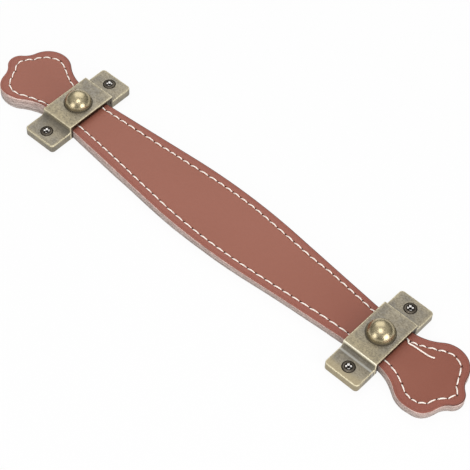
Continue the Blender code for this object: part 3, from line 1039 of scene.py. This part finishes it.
def tube_mesh(name, route, radius, sides):
    """A round tube with blunt rounded ends, and its along and around marks."""
    rings = []
    stations = [*TAIL_START, *((n, 1.0, 0.0) for n in range(len(route))), *TAIL_STOP]
    for number, (index, width, push) in enumerate(stations):
        index = index % len(route)
        ahead = route[min(index + 1, len(route) - 1)] - route[max(index - 1, 0)]
        ahead.normalize()
        aside = ahead.cross(Vector((0, 0, 1))).normalized()
        above = aside.cross(ahead)
        centre = route[index] + ahead * radius * push
        ring = {"points": [], "along": [], "around": []}
        for side in range(sides):
            angle = 2 * math.pi * side / sides
            spoke = (aside * math.cos(angle) + above * math.sin(angle)) * radius * width
            ring["points"].append(centre + spoke)
            ring["along"].append(number / TAIL_TWIST)
            ring["around"].append(side / sides)
        rings.append(ring)
    return ring_mesh(name, rings, ("along", "around"))


first_point, first_inward, first_sewn = COLUMNS[0]
first_hole = lie(first_point + first_inward * first_sewn)
tail_points = [
    Vector((first_hole.x + x * MM, first_hole.y + y * MM, STRAP_TOP + z * MM)) for x, y, z in TAIL_ROUTE
]
loose_end = tube_mesh("loose_end", smooth_route(tail_points, TAIL_STEPS), THREAD_RADIUS, TAIL_SIDES)
dress(loose_end, ivory_thread)


def join(target, others):
    """Join meshes into the first one."""
    with bpy.context.temp_override(active_object=target, selected_editable_objects=[target, *others]):
        bpy.ops.object.join()


join(top_stitches, [loose_end])
print("needle thread: %d faces" % len(top_stitches.data.polygons))

# %% [markdown]
# ## Clamps
#
# A clamp is one casting: a hat section whose feet take the screws, with a domed boss on its bridge. It is
# built the way a pattern maker would: the section is pushed through the width, trimmed to its plan, its
# edges are broken, the crease is turned around the boss, the boss is added and the holes are sunk.

# %% Clamp sizes
CLAMP_EDGE = 0.45 * MM
EDGE_ANGLE = math.radians(40.0)
FILLET = 1.5 * MM
DOME_RADIUS = 5.75 * MM
DOME_HEIGHT = 5.3 * MM
MOAT_WIDTH = 0.45 * MM
MOAT_DEPTH = 0.22 * MM
MOAT_MARGIN = 0.05 * MM
SCREW_HEAD_RADIUS = 2.65 * MM
SCREW_SHANK_RADIUS = 1.5 * MM
SCREW_RIM = 0.2 * MM
SCREW_GAP = 0.15 * MM
OVERSHOOT = 1.0 * MM
MERGE_GAP = 0.001 * MM
ROUND_STEPS = 72
HOLE_STEPS = 48
ARC_STEPS = 8


def quarter_turn(x, y, radius, start):
    """Points of a quarter of a circle."""
    angles = [start + math.pi / 2 * step / ARC_STEPS for step in range(ARC_STEPS + 1)]
    return [(x + radius * math.cos(angle), y + radius * math.sin(angle)) for angle in angles]


def hat_section():
    """Section across the strap: feet, filleted risers and bridge, as (y, z)."""
    right = [(BRIDGE_HALF, BRIDGE_TOP)]
    right += quarter_turn(BRIDGE_HALF + FILLET, FOOT_THICKNESS + FILLET, FILLET, math.pi)
    right += [(CLAMP_HALF, FOOT_THICKNESS), (CLAMP_HALF, 0.0)]
    right += [(CHANNEL_HALF, 0.0), (CHANNEL_HALF, BRIDGE_UNDERSIDE)]
    return right + [(-y, z) for y, z in reversed(right)]


def rounded_plan():
    """Plan of a clamp, its foot corners rounded, as (x, y)."""
    x, y = CLAMP_WIDTH / 2 - FOOT_CORNER, CLAMP_HALF - FOOT_CORNER
    points = []
    for number, (corner_x, corner_y) in enumerate(((x, y), (-x, y), (-x, -y), (x, -y))):
        points += quarter_turn(corner_x, corner_y, FOOT_CORNER, math.pi / 2 * number)
    return points


# %% Solid helpers
def pushed(name, points, push):
    """A solid from a flat outline pushed along a vector."""
    work = bmesh.new()
    face = work.faces.new([work.verts.new(point) for point in points])
    moved = bmesh.ops.extrude_face_region(work, geom=[face])["geom"]
    bmesh.ops.translate(work, vec=push, verts=[v for v in moved if isinstance(v, bmesh.types.BMVert)])
    return finished(work, name)


def finished(work, name):
    """An object from a bmesh, its doubles merged and its faces pointing out."""
    bmesh.ops.remove_doubles(work, verts=work.verts, dist=MERGE_GAP)
    return to_object(work, name)


def turned(name, profile, steps):
    """A solid turned about Z from a profile of (radius, height) that starts and ends on the axis."""
    work = bmesh.new()
    verts = [work.verts.new((radius, 0, height)) for radius, height in profile]
    edges = [work.edges.new(pair) for pair in zip(verts, verts[1:])]
    bmesh.ops.spin(work, geom=verts + edges, axis=(0, 0, 1), cent=(0, 0, 0), steps=steps, angle=2 * math.pi)
    return finished(work, name)


def worked(target, kind, **settings):
    """A solid worked with one modifier."""
    modifier = target.modifiers.new("work", kind)
    for name, value in settings.items():
        setattr(modifier, name, value)
    return settled(target, target.name)


def combine(target, cutter, operation):
    """Cut, join or trim a solid with another, which is then removed."""
    made = worked(target, "BOOLEAN", operation=operation, solver="EXACT", object=cutter)
    bpy.data.objects.remove(cutter, do_unlink=True)
    return made


def broken_edges(target, width):
    """Round over the sharp edges of a solid."""
    return worked(target, "BEVEL", width=width, segments=3, limit_method="ANGLE", angle_limit=EDGE_ANGLE)


def shaded(made, angle=32.0):
    """Smooth shading that keeps flats flat."""
    made.data.shade_smooth()
    made.data.set_sharp_from_angle(angle=math.radians(angle))
    return worked(made, "WEIGHTED_NORMAL", keep_sharp=True)


# %% Profiles to turn
def dome_profile():
    """The boss, from its crown down to its root."""
    points = []
    steps = ROUND_STEPS // 4
    for step in range(steps + 1):
        angle = math.pi / 2 * (1 - step / steps)
        points.append((DOME_RADIUS * math.cos(angle), BRIDGE_TOP + DOME_HEIGHT * math.sin(angle)))
    points[0] = (0.0, BRIDGE_TOP + DOME_HEIGHT)
    root = BRIDGE_TOP - OVERSHOOT
    return points + [(DOME_RADIUS, root), (0.0, root)]


def moat_profile():
    """The crease around the boss, a soft hollow."""
    top = BRIDGE_TOP + OVERSHOOT
    outer = DOME_RADIUS + MOAT_WIDTH
    points = [(0.0, top), (outer + MOAT_MARGIN, top), (outer + MOAT_MARGIN, BRIDGE_TOP)]
    for step in range(1, ARC_STEPS + 1):
        share = step / ARC_STEPS
        points.append((outer - MOAT_WIDTH * share, BRIDGE_TOP - MOAT_DEPTH * math.sin(share * math.pi / 2)))
    return points + [(0.0, BRIDGE_TOP - MOAT_DEPTH)]


def hole_profile():
    """A countersunk hole."""
    mouth = SCREW_HEAD_RADIUS + SCREW_GAP
    throat = SCREW_SHANK_RADIUS + SCREW_GAP
    rim = FOOT_THICKNESS - SCREW_RIM
    top, bottom = FOOT_THICKNESS + OVERSHOOT, -OVERSHOOT
    sink = [(mouth, rim), (throat, rim - (mouth - throat))]
    return [(0.0, top), (mouth, top), *sink, (throat, bottom), (0.0, bottom)]


# %% Build one clamp and place it twice
def marked_place(made, name):
    """Mark each point with its place on the piece in millimetres."""
    places = made.data.attributes.new(name, "FLOAT_VECTOR", "POINT")
    for vert, place in zip(made.data.vertices, places.data):
        place.vector = vert.co / MM
    return made


def make_clamp():
    """One clamp about its own centre, each point marked with its place on the clamp in millimetres."""
    half_width = CLAMP_WIDTH / 2
    clamp = pushed("clamp", [(-half_width, y, z) for y, z in hat_section()], (CLAMP_WIDTH, 0, 0))
    plan = pushed("plan", [(x, y, -OVERSHOOT) for x, y in rounded_plan()], (0, 0, BRIDGE_TOP + 2 * OVERSHOOT))
    clamp = broken_edges(combine(clamp, plan, "INTERSECT"), CLAMP_EDGE)
    clamp = combine(clamp, turned("moat", moat_profile(), ROUND_STEPS), "DIFFERENCE")
    clamp = combine(clamp, turned("dome", dome_profile(), ROUND_STEPS), "UNION")
    for side in (-1, 1):
        hole = turned("hole", hole_profile(), HOLE_STEPS)
        hole.location.y = side * SCREW_Y
        clamp = combine(clamp, hole, "DIFFERENCE")
    return marked_place(shaded(clamp), "clamp_place")


def placed_copy(made, name, place):
    """A copy whose mesh is moved to its place."""
    mesh = made.data.copy()
    mesh.name = name
    mesh.transform(place)
    return new_object(name, mesh)


def clamp_matrix(end):
    """Place of a clamp: along the strap, and a little askew."""
    side = -1 if end == "left" else 1
    return Matrix.Translation((side * CLAMP_X, 0, 0)) @ Matrix.Rotation(CLAMP_TURNS[end], 4, "Z")


pattern = make_clamp()
clamps = {end: placed_copy(pattern, "clamp_" + end, clamp_matrix(end)) for end in CLAMP_TURNS}
bpy.data.objects.remove(pattern, do_unlink=True)
print("clamp: %d faces" % len(clamps["left"].data.polygons))

# %% [markdown]
# ## Antique brass
#
# The casting was darkened and then rubbed back. The rub leaves the edges pale, the boss polished and the
# hollows dark, so the finish needs the distance to the nearest edge. It is worked out from the place on the
# clamp that the mesh carries, and broken up by noise so that no line is even. Light and shade are painted in
# too: shade in the near nooks, on the bridge's sides over the strap, in the crease and low on the boss, light
# on the near risers, and on the right clamp a glint along the bridge's near edge and a highlight on its
# fillet.


# %% Distances on a clamp
SIDE = CLAMP_WIDTH / 2 / MM
BRIDGE = BRIDGE_HALF / MM
REACH = CLAMP_HALF / MM
ROOT = BRIDGE_TOP / MM
FOOT = FOOT_THICKNESS / MM
CORNER = FOOT_CORNER / MM
BOSS = DOME_RADIUS / MM
SHELTER = 0.05
RAGGED = 0.9
BOSS_MIDDLE = ROOT + DOME_HEIGHT / MM / 2


def rubbed_edge(x, y, z):
    """Distance in mm to the nearest edge that is rubbed; the far risers are sheltered."""
    side, across = abs(x) - SIDE, abs(y)
    past, above = across - BRIDGE, z - ROOT
    inside = (BRIDGE - across).at_least(0.0)
    corner_x, corner_y = side + CORNER, across - (REACH - CORNER)
    outside = far_from(corner_x.at_least(0.0), corner_y.at_least(0.0))
    plan = outside + corner_x.at_least(corner_y).at_most(0.0) - CORNER
    bridge = far_from(past, above).at_most(far_from(side, above) + past.at_least(0.0))
    riser = far_from(side, past) + inside + y.at_least(0.0) * SHELTER
    return bridge.at_most(riser.at_most(far_from(plan, z - FOOT) + inside))


# %% Antique brass finish
def brass_look(tree):
    """Darkened brass rubbed pale on the edges, bright on the boss, patina and painted shade in the near
    nooks.
    """
    x, y, z = mark(tree, "clamp_place", "Vector").split()
    place = object_place(tree)
    right = place.split()[0].ramp(-1.0, 1.0)
    near, across = y * -1.0, abs(y)
    speck = cloud(place, 1.5, 5.0, 0.7)
    brushed = cloud(object_place(tree, (0.3, 2.4, 2.4)), 1.0, 4.0, 0.7)
    edge = rubbed_edge(x, y, z) + (speck - 0.5) * RAGGED
    boss, nook = far_from(x, y), far_from(across - BRIDGE, z - FOOT)
    # painted shade: the bridge's side faces over the strap, dark with shade and the reflection of the shaded
    # strap
    hidden = (abs(x) - SIDE).ramp(-0.4, -0.15) * z.ramp(ROOT - 0.55, ROOT - 0.2, 1.0, 0.0)
    hidden = hidden * across.ramp(BRIDGE - 1.0, BRIDGE - 0.2, 1.0, 0.0)
    polished = boss.ramp(BOSS - 0.1, BOSS + 0.1, 1.0, 0.0) * z.ramp(ROOT, ROOT + 0.4)
    # the crease round the boss painted dark: patina and painted shade, made less metallic
    ring = abs(boss - (DOME_RADIUS + MOAT_WIDTH * 0.3) / MM)
    moat = ring.ramp(0.0, 0.5, 0.7, 0.0) * z.ramp(ROOT - 1.0, ROOT - 0.8)
    # patina in the nook between riser and foot, strongest on the near side as painted shade
    nook_patina_and_shade = nook.ramp(0.3, 6.5, 0.62, 0.0) * z.ramp(FOOT + 0.6, FOOT + 2.2, 1.0, 0.0)
    nook_patina_and_shade = nook_patina_and_shade * near.ramp(0.0, 5.0, 0.25, 1.0)
    golden = y.ramp(-12.0, -2.0, 0.5, 0.0) * z.ramp(ROOT - 1.0, ROOT - 0.3) * speck.ramp(0.45, 0.6, 1.0, 0.2)
    outer = near.ramp(REACH - 5.0, REACH - 2.0, 0.0, 0.6) * right
    # painted light: the upper part of the near riser is lightened
    painted_riser_light = z.ramp(FOOT + 0.8, FOOT + 2.0, 0.0, 0.4) * near.ramp(BRIDGE - 0.6, BRIDGE - 0.3)
    # painted highlight: a pale band at the foot of the right clamp's near fillet
    painted_fillet_highlight = abs(near - (BRIDGE + 1.75)).ramp(0.1, 0.75, 0.7, 0.0) * right * z.ramp(FOOT, FOOT + 0.5, 1.0, 0.0)
    # painted glint: a bright, less metallic band along the right clamp's near bridge edge
    painted_edge_glint = far_from(near - BRIDGE, z - ROOT).ramp(0.4, 1.4, 0.9, 0.0)
    painted_edge_glint = painted_edge_glint * near.ramp(BRIDGE - 0.45, BRIDGE - 0.15) * right
    gold = layered(
        (175, 162, 130),
        (speck.ramp(0.3, 0.7), (195, 182, 149)),
        # painted shade and reflection: the boss darker towards its root
        (z.ramp(ROOT + 0.2, BOSS_MIDDLE - 0.6, 0.5, 0.0), (118, 105, 79)),
    )
    colour = layered(
        (136, 131, 121),
        (cloud(place, 0.16, 3.0, 0.6).ramp(0.4, 0.62), (155, 147, 130)),
        (speck.ramp(0.42, 0.62, 0.0, 0.6), (112, 103, 86)),
        (brushed.ramp(0.5, 0.72, 0.0, 0.5), (178, 169, 145)),
        (golden, (176, 162, 124)),
        (edge.ramp(0.4, 1.7, 0.45, 0.0), (169, 158, 133)),
        (outer, (176, 162, 130)),
        (nook_patina_and_shade, (96, 90, 78)),
        (painted_riser_light, (190, 177, 146)),
        (painted_fillet_highlight, (190, 190, 184)),
        (edge.ramp(0.2, 0.5, 1.0, 0.0), (222, 212, 182)),
        (painted_edge_glint, (255, 249, 226)),
        (hidden * 0.92, (58, 44, 31)),
        (polished, gold),
        (moat, (98, 88, 70)),
    )
    return {
        "Base Color": colour,
        "Metallic": 1.0 - moat.at_least(nook.ramp(1.5, 4.0, 0.6, 0.0)).at_least(painted_edge_glint * 0.8),
        "Roughness": speck.ramp(0.3, 0.7, 0.42, 0.52) - polished * 0.19,
        "Normal": grain(place, 2.2, 4.0, 0.4, 0.08 * MM)[1],
    }


antique_brass = new_finish("antique brass", brass_look)
for clamp in clamps.values():
    dress(clamp, antique_brass)
print("clamps dressed")

# %% [markdown]
# ## Screws
#
# The screws are raised countersunk, with a cross recess: four wings that narrow with depth. The head is
# turned, the recess is cut with two wedges, and the shank gets a coarse thread that the front would hide.

# %% Screw sizes
SCREW_LENGTH = 12.0 * MM
SCREW_HEAD_RISE = 0.6 * MM
SCREW_POINT = 3.0 * MM
SWEEP_SHARE = 0.96
HEAD_ROUNDING = 0.06 * MM
RECESS_TOP = (3.4 * MM, 0.95 * MM)
RECESS_BOTTOM = (0.8 * MM, 0.6 * MM)
RECESS_DEPTH = 0.85 * MM
RECESS_MARGIN = 0.1 * MM
RECESS_TURN = math.radians(42.0)
THREAD_PITCH = 1.1 * MM
THREAD_RISE = 0.32 * MM
SCREW_STEPS = 64
SCREW_SHARP = 25.0


def screw_profile():
    """Screw from the crown of its head to its point."""
    crown = FOOT_THICKNESS + SCREW_HEAD_RISE
    sphere = (SCREW_HEAD_RADIUS ** 2 + SCREW_HEAD_RISE ** 2) / (2 * SCREW_HEAD_RISE)
    sweep = math.asin(SCREW_HEAD_RADIUS / sphere)
    points = []
    for step in range(ARC_STEPS + 1):
        angle = sweep * step / ARC_STEPS * SWEEP_SHARE
        points.append((sphere * math.sin(angle), crown - sphere * (1 - math.cos(angle))))
    rim = FOOT_THICKNESS - SCREW_RIM
    end = FOOT_THICKNESS - SCREW_LENGTH
    neck = rim - (SCREW_HEAD_RADIUS - SCREW_SHANK_RADIUS)
    head = [(SCREW_HEAD_RADIUS, FOOT_THICKNESS - HEAD_ROUNDING), (SCREW_HEAD_RADIUS, rim)]
    shank = [(SCREW_SHANK_RADIUS, neck), (SCREW_SHANK_RADIUS, end + SCREW_POINT), (0.0, end)]
    return points + head + shank


def wing_cutter(turn):
    """A wedge that cuts two opposite wings of the recess."""
    crown = FOOT_THICKNESS + SCREW_HEAD_RISE
    work = bmesh.new()
    bmesh.ops.create_cube(work, size=1.0)
    for vert in work.verts:
        length, width = RECESS_TOP if vert.co.z > 0 else RECESS_BOTTOM
        height = crown + RECESS_MARGIN if vert.co.z > 0 else crown - RECESS_DEPTH
        vert.co = Vector((vert.co.x * length, vert.co.y * width, height))
    bmesh.ops.rotate(work, cent=(0, 0, 0), matrix=Matrix.Rotation(turn, 3, "Z"), verts=work.verts)
    return finished(work, "wing")


# %% The screw's thread
RIDGE_STEPS = 24
RIDGE_SINK = 0.08 * MM
RIDGE_LEAST = 0.02 * MM
RIDGE_FADE = 8
RIDGE_HALF = 0.3
RIDGE_FROM_HEAD = 3.4 * MM
RIDGE_FROM_POINT = 1.2 * MM


def thread_ridge():
    """A helical ridge round the shank, fading in and out."""
    top = FOOT_THICKNESS - RIDGE_FROM_HEAD
    bottom = FOOT_THICKNESS - SCREW_LENGTH + RIDGE_FROM_POINT
    turns = (top - bottom) / THREAD_PITCH
    count = int(turns * RIDGE_STEPS)
    work = bmesh.new()
    rows = []
    for n in range(count + 1):
        share = n / count
        angle = 2 * math.pi * turns * share
        z = top + (bottom - top) * share
        taper = min(1.0, max(0.0, (z - (FOOT_THICKNESS - SCREW_LENGTH)) / SCREW_POINT))
        core = SCREW_SHANK_RADIUS * taper - RIDGE_SINK
        rise = (THREAD_RISE + RIDGE_SINK) * smooth_step(min(share, 1 - share) * RIDGE_FADE) + RIDGE_LEAST
        row = []
        for radius, drop in ((core, -RIDGE_HALF), (core + rise, 0.0), (core, RIDGE_HALF)):
            level = z + drop * THREAD_PITCH
            row.append(work.verts.new((radius * math.cos(angle), radius * math.sin(angle), level)))
        rows.append(row)
    join_rows(work, rows)
    work.faces.new(rows[0])
    work.faces.new(list(reversed(rows[-1])))
    return finished(work, "ridge")


# %% Build and place the screws
def make_screw(turn):
    """One screw about its own axis, with its place marked in millimetres from the axis."""
    screw = turned("screw", screw_profile(), SCREW_STEPS)
    for quarter in (0.0, math.pi / 2):
        screw = combine(screw, wing_cutter(turn + quarter), "DIFFERENCE")
    screw = shaded(screw, SCREW_SHARP)
    join(screw, [shaded(thread_ridge(), SCREW_SHARP)])
    return marked_place(screw, "screw_place")


SCREW_NAMES = {"near": -1, "far": 1}
screws = {}
for end in CLAMP_TURNS:
    screw = make_screw(RECESS_TURN - CLAMP_TURNS[end])
    for side, side_y in SCREW_NAMES.items():
        name = "screw_%s_%s" % (end, side)
        place = clamp_matrix(end) @ Matrix.Translation((0, side_y * SCREW_Y, 0))
        screws[name] = placed_copy(screw, "dark_" + name, place)
    bpy.data.objects.remove(screw, do_unlink=True)
print("screw: %d faces" % len(screws["screw_left_near"].data.polygons))


# %% Screw finish
HEAD_FALL = SCREW_HEAD_RISE * MM / SCREW_HEAD_RADIUS ** 2
HEAD = SCREW_HEAD_RADIUS / MM
CROWN = (FOOT_THICKNESS + SCREW_HEAD_RISE) / MM


def screw_look(tree):
    """Dark plating; near-white recess wings for bare metal where the driver bites and a painted highlight."""
    x, y, z = mark(tree, "screw_place", "Vector").split()
    place = object_place(tree)
    radius = far_from(x, y)
    speck = cloud(place, 3.0, 4.0, 0.7)
    sunk = (z + radius * radius * HEAD_FALL).ramp(CROWN - 0.12, CROWN - 0.05, 1.0, 0.0)
    # painted highlight: the wings near-white and mostly non-metal, so they stay bright; partly bare metal
    recess = sunk * abs(radius - 1.15).ramp(0.45, 0.6, 1.0, 0.0)
    # painted shade: the deep middle of the recess
    painted_pit_shade = sunk * radius.ramp(0.45, 0.7, 1.0, 0.0)
    return {
        "Base Color": layered(
            (84, 78, 70),
            (speck.ramp(0.35, 0.7), (118, 110, 98)),
            (radius.ramp(1.5, 1.95, 0.95, 0.0), (36, 32, 28)),
            (recess, layered((240, 237, 232), (speck.ramp(0.3, 0.7), (255, 253, 250)))),
            (painted_pit_shade, (20, 18, 16)),
            (radius.ramp(HEAD - 0.4, HEAD - 0.15), (62, 56, 49)),
        ),
        "Metallic": 1.0 - (recess - painted_pit_shade).at_least(0.0) * 0.8,
        "Roughness": 0.42,
        "Normal": grain(place, 4.0, 3.0, 0.2, 0.04 * MM)[1],
    }


dark_plating = new_finish("dark plating", screw_look)
for screw in screws.values():
    dress(screw, dark_plating)
print("screws dressed")

# %% [markdown]
# ## What stands for what
#
# Each dressed piece replaces the plain solid that it was built over and rides on the one body. The table
# also lists a finish slot for each piece, which the script does not use.

# %% Put the pieces in the frame
REPLACED = (
    (strap_skin, "strap_face", "brown_faux_leather"),
    (strap_backing, "strap_back", "grey_backing"),
    (top_stitches, "needle_thread", "ivory_thread"),
    (under_stitches, "bobbin_thread", "ivory_thread"),
    (clamps["left"], "bracket_left", "antique_brass"),
    (clamps["right"], "bracket_right", "antique_brass"),
) + tuple((screw, name, "dark_screw") for name, screw in screws.items())
for piece, node, slot in REPLACED:
    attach(piece, "root")
    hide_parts(node)
print("%d pieces stand for %d solids" % (len(REPLACED), len(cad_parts)))

# %% [markdown]
# ## Surface, light and camera
#
# The pull lies on a pale front. The floor looks white to the camera but stays an ordinary pale surface for
# the light, so that it keeps the shadow. A lamp overhead and larger, softer ones around give the boss its
# bright crown and its two lower glints.


# %% Floor and sky
FLOOR_SIZE = 20.0
FLOOR_GAP = 0.02 * MM
FLOOR_COLOUR = (0.86, 0.86, 0.86, 1.0)
WHITE = (1.0, 1.0, 1.0, 1.0)
WHITE_SHARE = 0.9
HORIZON = (0.20, 0.20, 0.20, 1.0)
ZENITH = (0.68, 0.68, 0.68, 1.0)


def floor_finish():
    """Pale floor that the camera sees nearly white, with its shadow kept."""
    material = bpy.data.materials.new("pale front")
    material.use_nodes = True
    tree = material.node_tree
    tree.nodes.clear()
    path = add_node(tree, "ShaderNodeLightPath").outputs
    rays = ("Is Camera Ray", "Is Glossy Ray", "Is Transmission Ray")
    camera_ray, glossy_ray, transmission_ray = [Field(tree, path[name]) for name in rays]
    seen = (camera_ray + glossy_ray + transmission_ray).at_most(1.0)
    diffuse = field(tree, "ShaderNodeBsdfDiffuse", {"Color": FLOOR_COLOUR})
    glow = field(tree, "ShaderNodeEmission", {"Color": WHITE})
    blend = field(tree, "ShaderNodeMixShader", (seen * WHITE_SHARE, diffuse, glow))
    add_node(tree, "ShaderNodeOutputMaterial", (blend,))
    return material


bpy.ops.mesh.primitive_plane_add(size=FLOOR_SIZE, location=(0, 0, -FLOOR_GAP))
floor = bpy.context.object
floor.name = "pale_front"
dress(floor, floor_finish())
floor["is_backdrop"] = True

world = bpy.data.worlds.new("studio")
bpy.context.scene.world = world
world.use_nodes = True
sky = world.node_tree
upwards = field(sky, "ShaderNodeTexCoord", output="Generated").split()[2].ramp(0.1, 0.95)
gradient = {0: upwards, 6: HORIZON, 7: ZENITH}
feed(sky.nodes["Background"], (field(sky, "ShaderNodeMix", gradient, 2, data_type="RGBA"),))
print("floor and sky set")

# %% Lamps
LAMPS = (
    ("overhead", (0.12, -0.14, 0.59), (0.30, 0.30), 0.85),
    ("behind", (-0.31, 0.33, 0.48), (0.62, 0.58), 1.30),
    ("near_glint", (-0.08, -0.80, 0.28), (0.40, 0.48), 1.55),
    ("right_glint", (0.80, -0.10, 0.26), (0.46, 0.48), 3.1),
)


def add_lamp(name, place, size, power):
    """A soft rectangular lamp that looks at the middle of the strap."""
    data = bpy.data.lights.new(name, "AREA")
    data.shape = "RECTANGLE"
    data.size, data.size_y = size
    data.energy = power
    lamp = new_object(name, data)
    lamp.location = place
    lamp.rotation_euler = (-Vector(place)).to_track_quat("-Z", "Y").to_euler()
    lamp.visible_camera = False


for lamp in LAMPS:
    add_lamp(*lamp)
print("%d lamps" % len(LAMPS))

# %% Camera
CAMERA_PLACE = Vector((252.35, -284.38, 485.62)) * MM
CAMERA_TARGET = Vector((8.70, -0.80, 0.0)) * MM
CAMERA_ROLL = math.radians(3.19)
SENSOR_WIDTH = 36.0
LENS = 116.2

camera_data = bpy.data.cameras.new("camera")
camera_data.sensor_width = SENSOR_WIDTH
camera_data.lens = LENS
camera = new_object("camera", camera_data)
level = (CAMERA_TARGET - CAMERA_PLACE).to_track_quat("-Z", "Y").to_matrix().to_4x4()
camera.matrix_world = Matrix.Translation(CAMERA_PLACE) @ level @ Matrix.Rotation(CAMERA_ROLL, 4, "Z")
bpy.context.scene.camera = camera
bpy.context.scene.view_settings.view_transform = "Standard"
print("camera right vector:", [round(value, 4) for value in camera.matrix_world.col[0][:3]])

# %% Measure and finish
visual_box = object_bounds()
corners = [[round(value / MM, 2) for value in corner] for corner in (*cad_box, *visual_box)]
print("solids and looks, in mm:", corners)
